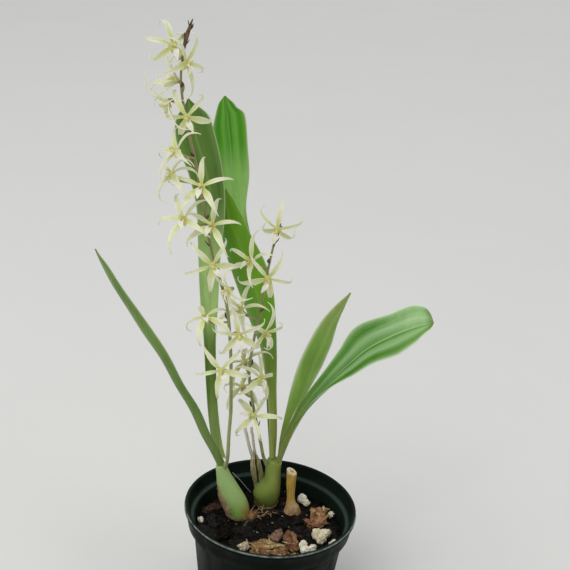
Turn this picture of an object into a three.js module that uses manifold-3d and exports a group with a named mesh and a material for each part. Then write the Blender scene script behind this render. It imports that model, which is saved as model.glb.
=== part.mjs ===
// Potted Eria javanica: an orchid with two leafy pseudobulbs and two flower stems of starry
// cream blooms, growing in bark mix in a round plastic pot. Millimetres, +Z up.
// The origin is the middle of the pot's flat underside. The front is -Y and the right is +X.

import * as THREE from 'three';
import { mergeVertices } from 'three/addons/utils/BufferGeometryUtils.js';
import Module from 'manifold-3d';

// Pot: a five inch round pot with a collar rim and a ledge inside it
const POT_HEIGHT = 100;
const RIM_RADIUS = 65;
const LIP_WIDTH = 3;
const COLLAR_HEIGHT = 16;
const COLLAR_RADIUS = 61.5;
const WALL_THICKNESS = 1.6;
const SHOULDER_RADIUS = 57.5;
const BASE_RADIUS = 47.5;
const LEDGE_Z = 89;
const LEDGE_INNER_RADIUS = 57;
const FLOOR_THICKNESS = 2.4;
const POT_SIDES = 48;
const DRAIN_HOLE_COUNT = 6;
const DRAIN_HOLE_RADIUS = 5;
const DRAIN_HOLE_RING = 34;

// Potting mix
const MIX_Z = 80;
const MIX_RINGS = 9;
const MIX_SPOKES = 30;
const MIX_CHIP_COUNT = 60;

// Seats: the gap between two pieces that touch
const GAP = 0.3;
const CHIP_GAP = 0.45;

// Blooms
const TEPAL_STEPS = 4;
const TEPAL_THICKNESS = 1.1;

// Leaves
const LEAF_THICKNESS = 0.9;
const LEAF_STEPS = 16;
const LEAF_CELLS = 4;

const wasm = await Module();
wasm.setup();

const v = (x, y, z) => new THREE.Vector3(x, y, z);
const radians = THREE.MathUtils.degToRad;
const lerp = THREE.MathUtils.lerp;

// Small seeded generator, so that every run draws the same numbers
function seeded(seed) {
  let state = seed;
  return () => {
    state = (state * 16807) % 2147483647;
    return state / 2147483647;
  };
}

function spread(draw, amount) {
  return (draw() * 2 - 1) * amount;
}

// Solids and meshes

function solidOf(geometry) {
  const bare = geometry.clone();
  bare.deleteAttribute('normal');
  bare.deleteAttribute('uv');
  const merged = mergeVertices(bare, 1e-4);
  return new wasm.Manifold(new wasm.Mesh({
    numProp: 3,
    vertProperties: new Float32Array(merged.attributes.position.array),
    triVerts: new Uint32Array(merged.index.array),
  }));
}

function geometryOf(solid) {
  const { vertProperties, triVerts } = solid.getMesh();
  const geometry = new THREE.BufferGeometry();
  geometry.setAttribute('position', new THREE.BufferAttribute(new Float32Array(vertProperties), 3));
  geometry.setIndex(new THREE.BufferAttribute(new Uint32Array(triVerts), 1));
  geometry.computeVertexNormals();
  return geometry;
}

// A cut can leave a crumb behind, so the biggest piece is the one that stays
function mainPiece(solid) {
  const pieces = solid.decompose();
  pieces.sort((a, b) => b.volume() - a.volume());
  return pieces[0];
}

function indexedGeometry(points, index) {
  const geometry = new THREE.BufferGeometry();
  geometry.setAttribute('position', new THREE.Float32BufferAttribute(points.flatMap((p) => [p.x, p.y, p.z]), 3));
  geometry.setIndex(signedVolume(points, index) < 0 ? index.reverse() : index);
  return geometry;
}

function signedVolume(points, index) {
  let sum = 0;
  for (let i = 0; i < index.length; i += 3) {
    const [a, b, c] = [points[index[i]], points[index[i + 1]], points[index[i + 2]]];
    sum += a.dot(b.clone().cross(c));
  }
  return sum / 6;
}

// Skin over a row of rings, closed at both ends
function loft(rings) {
  const sides = rings[0].length;
  const last = (rings.length - 1) * sides;
  const index = [];
  for (let ring = 0; ring < last; ring += sides) {
    for (let side = 0; side < sides; side += 1) {
      const next = (side + 1) % sides;
      index.push(ring + side, ring + next, ring + sides + next);
      index.push(ring + side, ring + sides + next, ring + sides + side);
    }
  }
  for (let side = 1; side < sides - 1; side += 1) {
    index.push(0, side + 1, side);
    index.push(last, last + side, last + side + 1);
  }
  return solidOf(indexedGeometry(rings.flat(), index));
}

// Blade between an upper and a lower grid of points, split into triangles alike on both faces
function blade(upper, lower) {
  const rows = upper.length;
  const columns = upper[0].length;
  const points = [...upper.flat(), ...lower.flat()];
  const under = rows * columns;
  const at = (row, column) => row * columns + column;
  const index = [];
  const quad = (a, b, c, d) => index.push(a, b, c, a, c, d);
  for (let row = 0; row < rows - 1; row += 1) {
    for (let column = 0; column < columns - 1; column += 1) {
      const [a, b, c, d] = [at(row, column), at(row, column + 1), at(row + 1, column + 1), at(row + 1, column)];
      quad(a, b, c, d);
      index.push(under + a, under + c, under + b, under + a, under + d, under + c);
    }
    quad(at(row + 1, 0), under + at(row + 1, 0), under + at(row, 0), at(row, 0));
    const edge = columns - 1;
    quad(at(row, edge), under + at(row, edge), under + at(row + 1, edge), at(row + 1, edge));
  }
  const end = rows - 1;
  for (let column = 0; column < columns - 1; column += 1) {
    quad(at(0, column), under + at(0, column), under + at(0, column + 1), at(0, column + 1));
    quad(at(end, column + 1), under + at(end, column + 1), under + at(end, column), at(end, column));
  }
  return solidOf(indexedGeometry(points, index));
}

// Tapered stem along a smooth line through hand-placed points [x, y, z, radius]
function stem(points, { sides = 6, steps = 12, grow = 0, up = v(0, -1, 0), flatten = 1 } = {}) {
  const line = new THREE.CatmullRomCurve3(points.map((p) => v(p[0], p[1], p[2])), false, 'centripetal');
  const rings = [];
  for (let step = 0; step <= steps; step += 1) {
    const t = step / steps;
    const centre = line.getPoint(t);
    const forward = line.getTangent(t);
    const side = forward.clone().cross(up).normalize();
    const back = side.clone().cross(forward);
    const radius = between(points.map((p) => p[3]), t) + grow;
    rings.push(circle(sides).map(([c, s]) => centre.clone()
      .addScaledVector(side, c * radius)
      .addScaledVector(back, s * radius * flatten)));
  }
  return loft(rings);
}

function circle(sides) {
  return Array.from({ length: sides }, (_, i) => {
    const angle = (i / sides) * 2 * Math.PI;
    return [Math.cos(angle), Math.sin(angle)];
  });
}

// Value at t, from 0 to 1, on straight steps between the listed values
function between(values, t) {
  const place = Math.min(t, 0.999999) * (values.length - 1);
  const low = Math.floor(place);
  return lerp(values[low], values[low + 1], place - low);
}

// Pot

function potProfile() {
  const lipOuter = RIM_RADIUS;
  const lipInner = RIM_RADIUS - LIP_WIDTH;
  const collarBottom = POT_HEIGHT - COLLAR_HEIGHT;
  const shoulderInner = LEDGE_INNER_RADIUS - WALL_THICKNESS / 2;
  return [
    [0, 0],
    [BASE_RADIUS - 1.5, 0],
    [BASE_RADIUS, 1.5],
    [SHOULDER_RADIUS, collarBottom - 1.5],
    [COLLAR_RADIUS, collarBottom],
    [RIM_RADIUS - 1, POT_HEIGHT - 4],
    [lipOuter, POT_HEIGHT - 2.5],
    [lipOuter - 0.7, POT_HEIGHT],
    [lipInner, POT_HEIGHT - 0.4],
    [COLLAR_RADIUS - WALL_THICKNESS, LEDGE_Z + 1],
    [LEDGE_INNER_RADIUS, LEDGE_Z],
    [shoulderInner, LEDGE_Z - 3],
    [BASE_RADIUS - WALL_THICKNESS, FLOOR_THICKNESS],
    [0, FLOOR_THICKNESS],
  ];
}

function lathed(profile, sides) {
  const shape = profile.map(([radius, z]) => new THREE.Vector2(radius, z));
  const geometry = new THREE.LatheGeometry(shape, sides);
  geometry.rotateX(Math.PI / 2);
  return solidOf(geometry);
}

function post(radius, z0, z1, sides) {
  const geometry = new THREE.CylinderGeometry(radius, radius, z1 - z0, sides);
  geometry.rotateX(Math.PI / 2);
  geometry.translate(0, 0, (z0 + z1) / 2);
  return solidOf(geometry);
}

function potSolid() {
  let pot = lathed(potProfile(), POT_SIDES);
  const hole = post(DRAIN_HOLE_RADIUS, -1, FLOOR_THICKNESS + 1, 8);
  for (let i = 0; i < DRAIN_HOLE_COUNT; i += 1) {
    const angle = ((i + 0.5) / DRAIN_HOLE_COUNT) * 2 * Math.PI;
    const spot = [DRAIN_HOLE_RING * Math.cos(angle), DRAIN_HOLE_RING * Math.sin(angle), 0];
    pot = pot.subtract(hole.translate(spot));
  }
  return pot;
}

// Pseudobulbs: flask-shaped, swollen low down and drawn out into a neck. Points are [x, y, z, radius].
const LEFT_BULB = [
  [-21.5, 11, 77, 5.5], [-23.6, 11.3, 83, 8.4], [-26.8, 11.8, 90, 9.5], [-31, 12.3, 98, 9],
  [-35.2, 13, 108, 7.2], [-38.4, 13.6, 117, 5.8], [-41, 14, 125, 5],
];
const MIDDLE_BULB = [
  [-2.5, 30.5, 76, 4.4], [-3, 30, 81, 7.6], [-3.8, 29.5, 88, 10], [-4, 29.2, 96, 10.6],
  [-3, 29.2, 104, 9.4], [-1.2, 29.4, 113, 7], [1, 29.7, 123, 5.8],
];

function leftBulb(grow = 0) {
  return stem(LEFT_BULB, { sides: 12, steps: 8, grow });
}

function middleBulb(grow = 0) {
  return stem(MIDDLE_BULB, { sides: 12, steps: 8, grow });
}

// Creeping rhizome between the bulbs, with the roots that come out of it
const RHIZOME = [
  [-26, 9, 77, 2.6], [-20, 8.5, 78, 4], [-13, 12, 80, 4.4], [-6, 18, 78.5, 4.2],
  [2, 21, 77.5, 3.8], [10, 21, 77, 3.6], [17, 22, 76.5, 3],
];
const ROOTS = [
  [[-15, 10, 80, 1.6], [-17, 2, 81.5, 1.4], [-19, -7, 80.6, 1.3], [-20, -14, 76, 1]],
  [[-13, 9, 80, 1.6], [-14, 0, 81, 1.3], [-14.5, -8, 79.5, 1.2], [-14, -14, 75, 1]],
];

function rhizome(grow = 0) {
  const up = v(0, 0, 1);
  let solid = stem(RHIZOME, { sides: 7, steps: 9, grow, up });
  for (const root of ROOTS) {
    solid = solid.add(stem(root, { sides: 4, steps: 4, grow, up: v(1, 0, 0) }));
  }
  return solid;
}

// Cut stump of an old shoot: swollen foot, pale hollow top
const STUMP = [
  [17.5, 22, 78, 6.8], [17, 22, 82.5, 6.2], [15.8, 22, 88, 3.8], [15.2, 22, 93, 2.9],
  [14.6, 22, 101, 3.3], [14, 22, 121, 3.9],
];
const STUMP_HOLLOW = [[14.2, 22, 112, 2.1], [13.8, 22, 122, 2.6]];
const STUMP_CUT = { z: 117.5, slope: 24, size: 20 };

function stump(grow = 0) {
  const body = stem(STUMP, { sides: 9, steps: 8, grow });
  const blank = new THREE.BoxGeometry(STUMP_CUT.size, STUMP_CUT.size, STUMP_CUT.size);
  blank.translate(0, 0, STUMP_CUT.size / 2);
  blank.rotateY(radians(STUMP_CUT.slope));
  blank.translate(STUMP.at(-1)[0], STUMP.at(-1)[1], STUMP_CUT.z);
  return body.subtract(solidOf(blank)).subtract(stem(STUMP_HOLLOW, { sides: 9, steps: 1 }));
}

// Dried old shoot: a papery sheath that ends in two dry stubs
const DRY_SHEATH = [[-8.5, 44, 76, 3], [-10.5, 43, 90, 3.6], [-13.5, 39.5, 106, 4.4], [-15.5, 37, 118, 3]];
const DRY_STUBS = [
  [[-14, 37.2, 112, 1.6], [-19, 36.6, 124, 1.1], [-25, 36, 146, 0.9]],
  [[-13.5, 37, 112, 1.6], [-16.5, 38.5, 126, 1.1], [-19.5, 39, 143, 0.8]],
];

function driedShoot(grow = 0) {
  let solid = stem(DRY_SHEATH, { sides: 7, steps: 6, grow, flatten: 0.7 });
  for (const stub of DRY_STUBS) {
    solid = solid.add(stem(stub, { sides: 5, steps: 4, grow }));
  }
  return solid;
}

// Leaves. Points are [x, y, z, half width to the left, half width to the right, fold in degrees]
// along the midrib; faces are the directions that the upper side looks at the foot, middle and tip.
const LEAVES = {
  leaf_left_outer: {
    colour: 0x6f9a45,
    wave: 0.5,
    points: [
      [-41.8, 9.2, 125.4, 5.6, 5.6, 60], [-47.2, 9.2, 136, 5.8, 5.8, 56], [-55.2, 9.6, 150, 6.2, 6.2, 54],
      [-64.2, 9, 170, 6.8, 6.8, 48], [-76.2, 5, 193, 7.6, 7.6, 42], [-87.6, 2, 216, 8.6, 8.6, 36],
      [-100.4, 0, 236, 9.4, 9.4, 32], [-111.5, -3, 256, 9.4, 9.4, 26], [-122, -6, 275, 8, 8, 22],
      [-129, -9, 291, 5, 5, 18], [-134, -11, 303, 0.8, 0.8, 10],
    ],
    faces: [v(0.5, 0.8, 0.3), v(0.75, 0.6, 0.45), v(0.75, 0.6, 0.4)],
  },
  leaf_upright_dark: {
    colour: 0x3c5f2c,
    wave: 0.6,
    points: [
      [-40.2, 19.6, 125.8, 5.8, 5.8, 60], [-44, 21.6, 138, 5.8, 5.8, 56], [-48, 23.4, 160, 5.8, 5.8, 55],
      [-51, 25, 186, 5.8, 5.8, 55], [-54, 28, 221, 6.3, 6.3, 50], [-56, 32, 251, 8.4, 8.4, 42],
      [-58, 36, 285, 9.3, 9.3, 34], [-59.5, 40, 323, 11.3, 11.3, 25], [-65, 42, 348, 13, 13, 20],
      [-73, 43, 371, 14.4, 14.4, 16], [-77, 44, 386, 11.4, 11.4, 12], [-80, 44, 398, 0.8, 0.8, 8],
    ],
    faces: [v(0.1, -1, 0.1), v(-0.15, -1, 0.15), v(0, -1, 0.25)],
  },
  leaf_middle: {
    colour: 0x5f8f35,
    wave: 0.5,
    points: [
      [-2.4, 26.2, 124.6, 3.8, 3.8, 58], [-3.4, 28.6, 144, 4.6, 4.6, 56], [-7, 34, 179, 5.2, 5.2, 55],
      [-12, 41, 210, 7.6, 8.6, 42], [-17, 46, 229, 10.4, 12.4, 30], [-24, 50, 254, 13, 15.6, 22],
      [-32, 53, 273, 13, 15, 18], [-41, 55, 293, 10.5, 13.5, 16], [-47.5, 56, 307, 10, 11.2, 14],
      [-50, 57, 320, 5.5, 5.5, 12], [-51, 57, 329, 0.8, 0.8, 8],
    ],
    faces: [v(0.3, 0.9, 0.2), v(0.1, 1, 0.1), v(0.2, 1, 0)],
  },
  leaf_back: {
    colour: 0x5da336,
    wave: 0.4,
    points: [
      [-1, 34.2, 121, 3.6, 3.6, 58], [-4, 42, 150, 4.8, 4.8, 56], [-9, 54, 190, 6, 6, 52],
      [-20, 64, 235, 8, 7, 40], [-34.5, 69, 278, 9.5, 7.5, 26], [-43.5, 72, 308, 11.5, 8.4, 20],
      [-48, 73, 335, 12.3, 13.4, 18], [-50.5, 74, 356, 12.2, 13.2, 16], [-53, 75, 372, 11.2, 13.6, 14],
      [-54.5, 75, 382, 8, 10.5, 12], [-56, 75, 388, 5, 6, 10], [-56.6, 75, 393, 0.8, 0.8, 6],
    ],
    faces: [v(-0.2, -1, 0.1), v(0, -1, 0.1), v(0.15, -1, 0.1)],
  },
  leaf_right_narrow: {
    colour: 0x5d8a3a,
    wave: 0.3,
    points: [
      [4.4, 33, 121, 3, 3, 58], [6.5, 32, 141, 3.8, 3.8, 54], [10, 28.5, 160, 4.2, 5.6, 46],
      [16.3, 24, 181, 7.2, 9.4, 34], [22.3, 18, 209, 8.8, 11, 22], [27.6, 13, 231, 8, 10.4, 18],
      [32.6, 9, 251, 5, 7.6, 16], [38.6, 6, 267, 2.4, 4.4, 14], [43.5, 4, 279, 0.7, 0.7, 12],
    ],
    faces: [v(-0.9, 0.1, 0.4), v(-0.25, 0.9, 0.3), v(-0.1, 0.95, 0.2)],
  },
  leaf_right_broad: {
    colour: 0x5fa03c,
    wave: 0.8,
    points: [
      [4.8, 26.6, 121, 4.2, 4.2, 58], [8.5, 24, 137, 6.4, 6.4, 56], [13, 21.5, 153, 6, 7.4, 54],
      [22.5, 16, 179, 7, 8.8, 46], [36, 9, 205, 9.4, 11.4, 36], [49, 3, 225, 13.4, 13.4, 24],
      [60, -2, 240, 18.2, 14.2, 16], [77, -7, 255, 15.6, 17, 12], [90, -11, 264, 15.8, 12.4, 12],
      [97.5, -13.5, 268, 12.6, 6.4, 10], [101.8, -15, 270.4, 3.2, 2.6, 6],
    ],
    faces: [v(-0.8, 0.2, 0.5), v(-0.45, -0.6, 0.6), v(-0.2, -0.72, 0.65)],
  },
};

const LEAF_WAVES = 3;

// Section of a leaf: a channel whose sides are steepest at the margins
function leafSection(row, side, up, halves, fold, wave) {
  const [left, right] = halves;
  const points = [];
  const normals = [];
  const cells = LEAF_CELLS / 2;
  for (const [sign, half] of [[-1, left], [1, right]]) {
    let across = 0;
    let rise = 0;
    for (let cell = 0; cell < cells; cell += 1) {
      const angle = fold * lerp(0.6, 1.15, cell / (cells - 1));
      across += (half / cells) * Math.cos(angle);
      rise += (half / cells) * Math.sin(angle);
      const reach = (cell + 1) / cells;
      const height = rise + wave * reach * reach * sign;
      const point = row.clone().addScaledVector(side, sign * across).addScaledVector(up, height);
      const normal = up.clone().multiplyScalar(Math.cos(angle)).addScaledVector(side, -sign * Math.sin(angle));
      if (sign < 0) {
        points.unshift(point);
        normals.unshift(normal);
      } else {
        points.push(point);
        normals.push(normal);
      }
    }
    if (sign < 0) {
      points.push(row.clone());
      normals.push(up.clone());
    }
  }
  return { points, normals };
}

function leafSolid({ points, faces, wave }) {
  const line = new THREE.CatmullRomCurve3(points.map((p) => v(p[0], p[1], p[2])), false, 'centripetal');
  const upper = [];
  const lower = [];
  for (let step = 0; step <= LEAF_STEPS; step += 1) {
    const t = step / LEAF_STEPS;
    const forward = line.getTangent(t);
    const face = v(...['x', 'y', 'z'].map((axis) => between(faces.map((f) => f[axis]), t)));
    const side = forward.clone().cross(face).normalize();
    const up = side.clone().cross(forward).normalize();
    const halves = [3, 4].map((column) => between(points.map((p) => p[column]), t));
    const fold = radians(between(points.map((p) => p[5]), t));
    const ripple = wave * Math.sin(t * LEAF_WAVES * 2 * Math.PI) * Math.sin(t * Math.PI);
    const section = leafSection(line.getPoint(t), side, up, halves, fold, ripple);
    const offset = (amount) => section.points.map((p, i) => p.clone().addScaledVector(section.normals[i], amount));
    upper.push(offset(LEAF_THICKNESS / 2));
    lower.push(offset(-LEAF_THICKNESS / 2));
  }
  return blade(upper, lower);
}

// Flower stems, [x, y, z, radius] from the neck of the bulb up to the bud at the tip
const FLOWER_STEMS = {
  a: {
    name: 'flower_stem_left',
    points: [
      [-37.2, 12.4, 120, 1.9], [-35.2, 6.6, 132, 1.9], [-35.2, 6, 155, 1.8], [-34.8, 3, 177, 1.8],
      [-35.5, 0, 196, 1.7], [-38, -3, 234, 1.6], [-43, -6, 270, 1.5], [-53, -8, 301, 1.4],
      [-60.5, -8, 333, 1.4], [-69, -8, 372, 1.3], [-76, -9, 399, 1.2], [-80.5, -10, 426, 1.1],
      [-79.5, -11, 448, 1],
    ],
    tip: [[-79.5, -11, 446, 1.2], [-78, -11.4, 455, 2], [-76, -12, 462, 1.4], [-74.5, -12.3, 467, 0.5]],
    bracts: { first: 5, last: 12, count: 12 },
  },
  b: {
    name: 'flower_stem_right',
    points: [
      [-4.6, 27, 116, 1.8], [-8.5, 22.5, 128, 1.7], [-11, 20, 140, 1.6], [-15, 18, 157, 1.6],
      [-20, 16, 180, 1.5], [-23.6, 14, 204, 1.4], [-22.3, 14, 227, 1.4], [-18.2, 14, 263, 1.3],
      [-15.5, 13, 288, 1.2], [-12.8, 12, 308, 1],
    ],
    tip: [[-13, 12, 306, 1], [-11.6, 12.5, 313, 1.8], [-10, 13.5, 319, 1.2], [-9, 14, 323, 0.5]],
    bracts: { first: 3, last: 9, count: 8 },
  },
};
const BRACT_LENGTH = 4.5;

function flowerStem({ points, tip, bracts }, grow = 0) {
  const line = new THREE.CatmullRomCurve3(points.map((p) => v(p[0], p[1], p[2])), false, 'centripetal');
  let solid = stem(points, { sides: 5, steps: 17, grow });
  solid = solid.add(stem(tip, { sides: 5, steps: 3, grow }));
  const reach = points.length - 1;
  for (let i = 0; i < bracts.count; i += 1) {
    const t = lerp(bracts.first / reach, bracts.last / reach, i / bracts.count);
    const foot = line.getPoint(t);
    const along = line.getTangent(t);
    const out = v(Math.cos(i * 2.4), Math.sin(i * 2.4), 0).projectOnPlane(along).normalize();
    const end = foot.clone().addScaledVector(out, 3.4).addScaledVector(along, BRACT_LENGTH);
    const row = [[foot, 1.2], [end, 0.35]].map(([p, radius]) => [p.x, p.y, p.z, radius]);
    solid = solid.add(stem(row, { sides: 3, steps: 1, grow, up: out.clone() }));
  }
  return solid;
}

// Blooms. Each has its place, the way it faces (0 to the front, 90 to the right), its tilt up,
// the turn of its star about its own axis and how far its sepals and petals are swept back.
const BLOOMS = {
  a: [
    { at: [-86, -19, 451], facing: 35, tilt: 10, turn: 0, swept: 40 },
    { at: [-77, -16, 439], facing: 60, tilt: 15, turn: 45, swept: 0 },
    { at: [-84, -7, 425], facing: -70, tilt: 15, turn: 105, swept: -35 },
    { at: [-89, -14, 412], facing: -65, tilt: -35, turn: -5, swept: -10 },
    { at: [-75, -17, 404], facing: 5, tilt: -5, turn: -30, swept: 35 },
    { at: [-81, -20, 381], facing: -65, tilt: 35, turn: -50, swept: -5 },
    { at: [-84, -11, 362], facing: -75, tilt: 45, turn: -45, swept: 25 },
    { at: [-63, -20, 358], facing: -15, tilt: 30, turn: -5, swept: 0 },
    { at: [-74, -18, 333], facing: -35, tilt: 35, turn: -40, swept: -5 },
    { at: [-55, -15, 329], facing: -20, tilt: 35, turn: 0, swept: 0 },
    { at: [-53, -18, 301], facing: 15, tilt: 5, turn: -40, swept: 10 },
    { at: [-41, -18, 284], facing: -60, tilt: -15, turn: -55, swept: 0 },
    { at: [-56, -13, 259], facing: -30, tilt: 60, turn: -50, swept: 30 },
    { at: [-32, -14, 248], facing: 10, tilt: -5, turn: -10, swept: 5 },
    { at: [-43, -13, 218], facing: 5, tilt: 10, turn: -35, swept: 5 },
  ],
  b: [
    { at: [-11, 1, 324], facing: -10, tilt: -20, turn: 10, swept: 30 },
    { at: [-28, 5, 296], facing: -50, tilt: 45, turn: -15, swept: -20 },
    { at: [-15, 1, 286], facing: 10, tilt: -10, turn: 30, swept: 10 },
    { at: [-33, 13, 255], facing: -50, tilt: 50, turn: -15, swept: -5 },
    { at: [-14, 2, 243], facing: 50, tilt: -5, turn: 15, swept: 0 },
    { at: [-28, 23, 208], facing: 205, tilt: 20, turn: 15, swept: 15 },
    { at: [-15, 8, 203], facing: 50, tilt: 30, turn: 30, swept: 20 },
    { at: [-28, 19, 189], facing: 190, tilt: 10, turn: 0, swept: 30 },
    { at: [-18, 10, 170], facing: -20, tilt: 40, turn: 80, swept: 20 },
  ],
};

// Sepals and petals in order round the star: angle from the top, length, half width at the root,
// near it and in the middle, lean off the bloom's axis at root and tip, and sideways sweep in degrees
const TEPALS = [
  { angle: 0, length: 22, halves: [0.85, 2.1, 2], lean: [54, 114], sweep: 0 },
  { angle: 62, length: 21, halves: [0.75, 1.5, 1.7], lean: [58, 116], sweep: 22 },
  { angle: 130, length: 23, halves: [1.1, 2.7, 2], lean: [60, 118], sweep: 22, chinAfter: true },
  { angle: 230, length: 23, halves: [1.1, 2.7, 2], lean: [60, 118], sweep: -22 },
  { angle: 298, length: 21, halves: [0.75, 1.5, 1.7], lean: [58, 116], sweep: -22 },
];
const TEPAL_DRAW = { angle: 4, lean: 8, length: 0.07 };
const ROOT_RING = 2;
const CHIN_PLACE = v(-1, 0, -5.4);
const COLUMN_ROWS = [[0.6, 0, 1.1], [5, 0.5, 1.1]];
const STALK_RADII = [1.3, 1.4, 1, 0.85];
const STALK_DROP = 7;

// Bloom axes: x out of the face, y to its side, z to its top
function bloomAxes({ facing, tilt, turn }) {
  const [a, e, r] = [facing, tilt, turn].map(radians);
  const out = v(Math.sin(a) * Math.cos(e), -Math.cos(a) * Math.cos(e), Math.sin(e));
  const level = v(Math.cos(a), Math.sin(a), 0);
  const top = out.clone().cross(level);
  const side = level.clone().multiplyScalar(Math.cos(r)).addScaledVector(top, -Math.sin(r));
  const crown = top.multiplyScalar(Math.cos(r)).addScaledVector(level, Math.sin(r));
  return new THREE.Matrix4().makeBasis(out, side, crown);
}

// Direction at an angle round the star, from its top towards its side
function roundStar(angle) {
  return v(0, Math.sin(angle), Math.cos(angle));
}

// Rows of a sepal or petal from root to tip: left edge, right edge and keel behind
function tepalRows({ length, halves, lean, sweep }, angle, swept, draw) {
  const leans = [lean[0] + 0.6 * swept, lean[1] + 1.4 * swept + spread(draw, TEPAL_DRAW.lean)];
  const reach = length * (1 + spread(draw, TEPAL_DRAW.length));
  const widths = [...halves, halves[2] * 0.65, 0.35];
  const stride = reach / TEPAL_STEPS;
  const place = roundStar(angle).multiplyScalar(ROOT_RING);
  const rows = [];
  for (let step = 0; step <= TEPAL_STEPS; step += 1) {
    const t = step / TEPAL_STEPS;
    const around = angle + radians(sweep * t);
    const tip = radians(lerp(leans[0], leans[1], t));
    const radial = roundStar(around);
    const forward = radial.clone().multiplyScalar(Math.sin(tip)).add(v(Math.cos(tip), 0, 0));
    const face = radial.multiplyScalar(-Math.cos(tip)).add(v(Math.sin(tip), 0, 0));
    const side = roundStar(around + Math.PI / 2);
    if (step > 0) {
      place.addScaledVector(forward, stride);
    }
    const half = between(widths, t);
    rows.push([
      place.clone().addScaledVector(side, -half),
      place.clone().addScaledVector(side, half),
      place.clone().addScaledVector(face, -TEPAL_THICKNESS * lerp(1, 0.6, t)),
    ]);
  }
  return rows;
}

// Point of the flower stem that carries a bloom, a little below it
function stalkFoot(points, centre) {
  const wanted = centre.z - STALK_DROP;
  const line = new THREE.CatmullRomCurve3(points.map((p) => v(p[0], p[1], p[2])), false, 'centripetal');
  const places = line.getPoints(200);
  return places.reduce((best, place) => (Math.abs(place.z - wanted) < Math.abs(best.z - wanted) ? place : best));
}

// Rings of the ovary and flower stalk, from the back of the bloom down to the flower stem
function stalkRings(bloom, axes, rachis, angles) {
  const centre = v(...bloom.at);
  const [out, side, top] = [v(), v(), v()];
  axes.extractBasis(out, side, top);
  const start = centre.clone().addScaledVector(out, -1.4);
  const bend = start.clone().addScaledVector(out, -6).add(v(0, 0, -1));
  const curve = new THREE.QuadraticBezierCurve3(start, bend, stalkFoot(rachis, centre));
  return STALK_RADII.map((radius, step) => {
    const t = step / (STALK_RADII.length - 1);
    const along = curve.getTangent(t);
    side.projectOnPlane(along).normalize();
    top.projectOnPlane(along).projectOnPlane(side).normalize();
    return angles.map((angle) => curve.getPoint(t)
      .addScaledVector(side, Math.sin(angle) * radius)
      .addScaledVector(top, Math.cos(angle) * radius));
  });
}

// Bloom in one skin: five tepals round the column in front and the stalk behind
function bloomBody(bloom, rachis, draw) {
  const angles = TEPALS.map((part) => radians(part.angle + spread(draw, TEPAL_DRAW.angle)));
  const axes = bloomAxes(bloom);
  const place = axes.clone().setPosition(...bloom.at);
  const points = [];
  const index = [];
  const keep = (point) => points.push(point) - 1;
  const local = (point) => keep(point.clone().applyMatrix4(place));
  const front = COLUMN_ROWS.map(([out, up, radius]) => angles.map((angle) => (
    local(roundStar(angle).multiplyScalar(radius).add(v(out, 0, up)))
  )));
  const back = stalkRings(bloom, axes, rachis, angles).map((ring) => ring.map(keep));
  const arms = TEPALS.map((part, i) => tepalRows(part, angles[i], bloom.swept, draw).map((row) => row.map(local)));
  const chin = local(CHIN_PLACE);
  const count = angles.length;
  TEPALS.forEach((part, i) => {
    const next = (i + 1) % count;
    const [left, right, keel] = arms[i][0];
    const neighbour = arms[next][0][0];
    const [near, far] = [front[0][i], front[0][next]];
    const [nearBack, farBack] = [back[0][i], back[0][next]];
    index.push(near, right, left, near, far, right);
    index.push(nearBack, keel, right, nearBack, left, keel, nearBack, right, farBack);
    if (part.chinAfter) {
      index.push(far, chin, right, far, neighbour, chin, farBack, right, chin, farBack, chin, neighbour);
    } else {
      index.push(far, neighbour, right, farBack, right, neighbour);
    }
    for (let row = 0; row < TEPAL_STEPS; row += 1) {
      const [a, b] = [arms[i][row], arms[i][row + 1]];
      for (let corner = 0; corner < 3; corner += 1) {
        const other = (corner + 1) % 3;
        index.push(a[corner], a[other], b[other], a[corner], b[other], b[corner]);
      }
    }
    index.push(...arms[i][TEPAL_STEPS]);
    for (const [tube, flip] of [[front, false], [back, true]]) {
      for (let row = 0; row < tube.length - 1; row += 1) {
        const [a, b, c, d] = [tube[row][i], tube[row][next], tube[row + 1][next], tube[row + 1][i]];
        index.push(...(flip ? [a, b, c, a, c, d] : [b, a, d, b, d, c]));
      }
    }
  });
  for (let i = 1; i < count - 1; i += 1) {
    index.push(front.at(-1)[0], front.at(-1)[i + 1], front.at(-1)[i]);
    index.push(back.at(-1)[0], back.at(-1)[i], back.at(-1)[i + 1]);
  }
  return solidOf(indexedGeometry(points, index));
}

// Lip: a short claw, a broad three-lobed blade and a pointed middle lobe that hangs down
const LIP_ROWS = [[0, -1.2, 0.6], [3, -2.8, 2.6], [5.4, -5, 3], [6.2, -10.5, 0.4]];

function lip(place) {
  return loft(LIP_ROWS.map(([out, up, half]) => [
    v(out, -half, up + 0.4), v(out, half, up + 0.4), v(out - 0.9, 0, up - 0.4),
  ])).transform(place.elements);
}

function bloomSolid(bloom, rachis, seed) {
  const draw = seeded(seed);
  const place = bloomAxes(bloom).setPosition(...bloom.at);
  return bloomBody(bloom, rachis, draw).add(lip(place));
}

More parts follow.
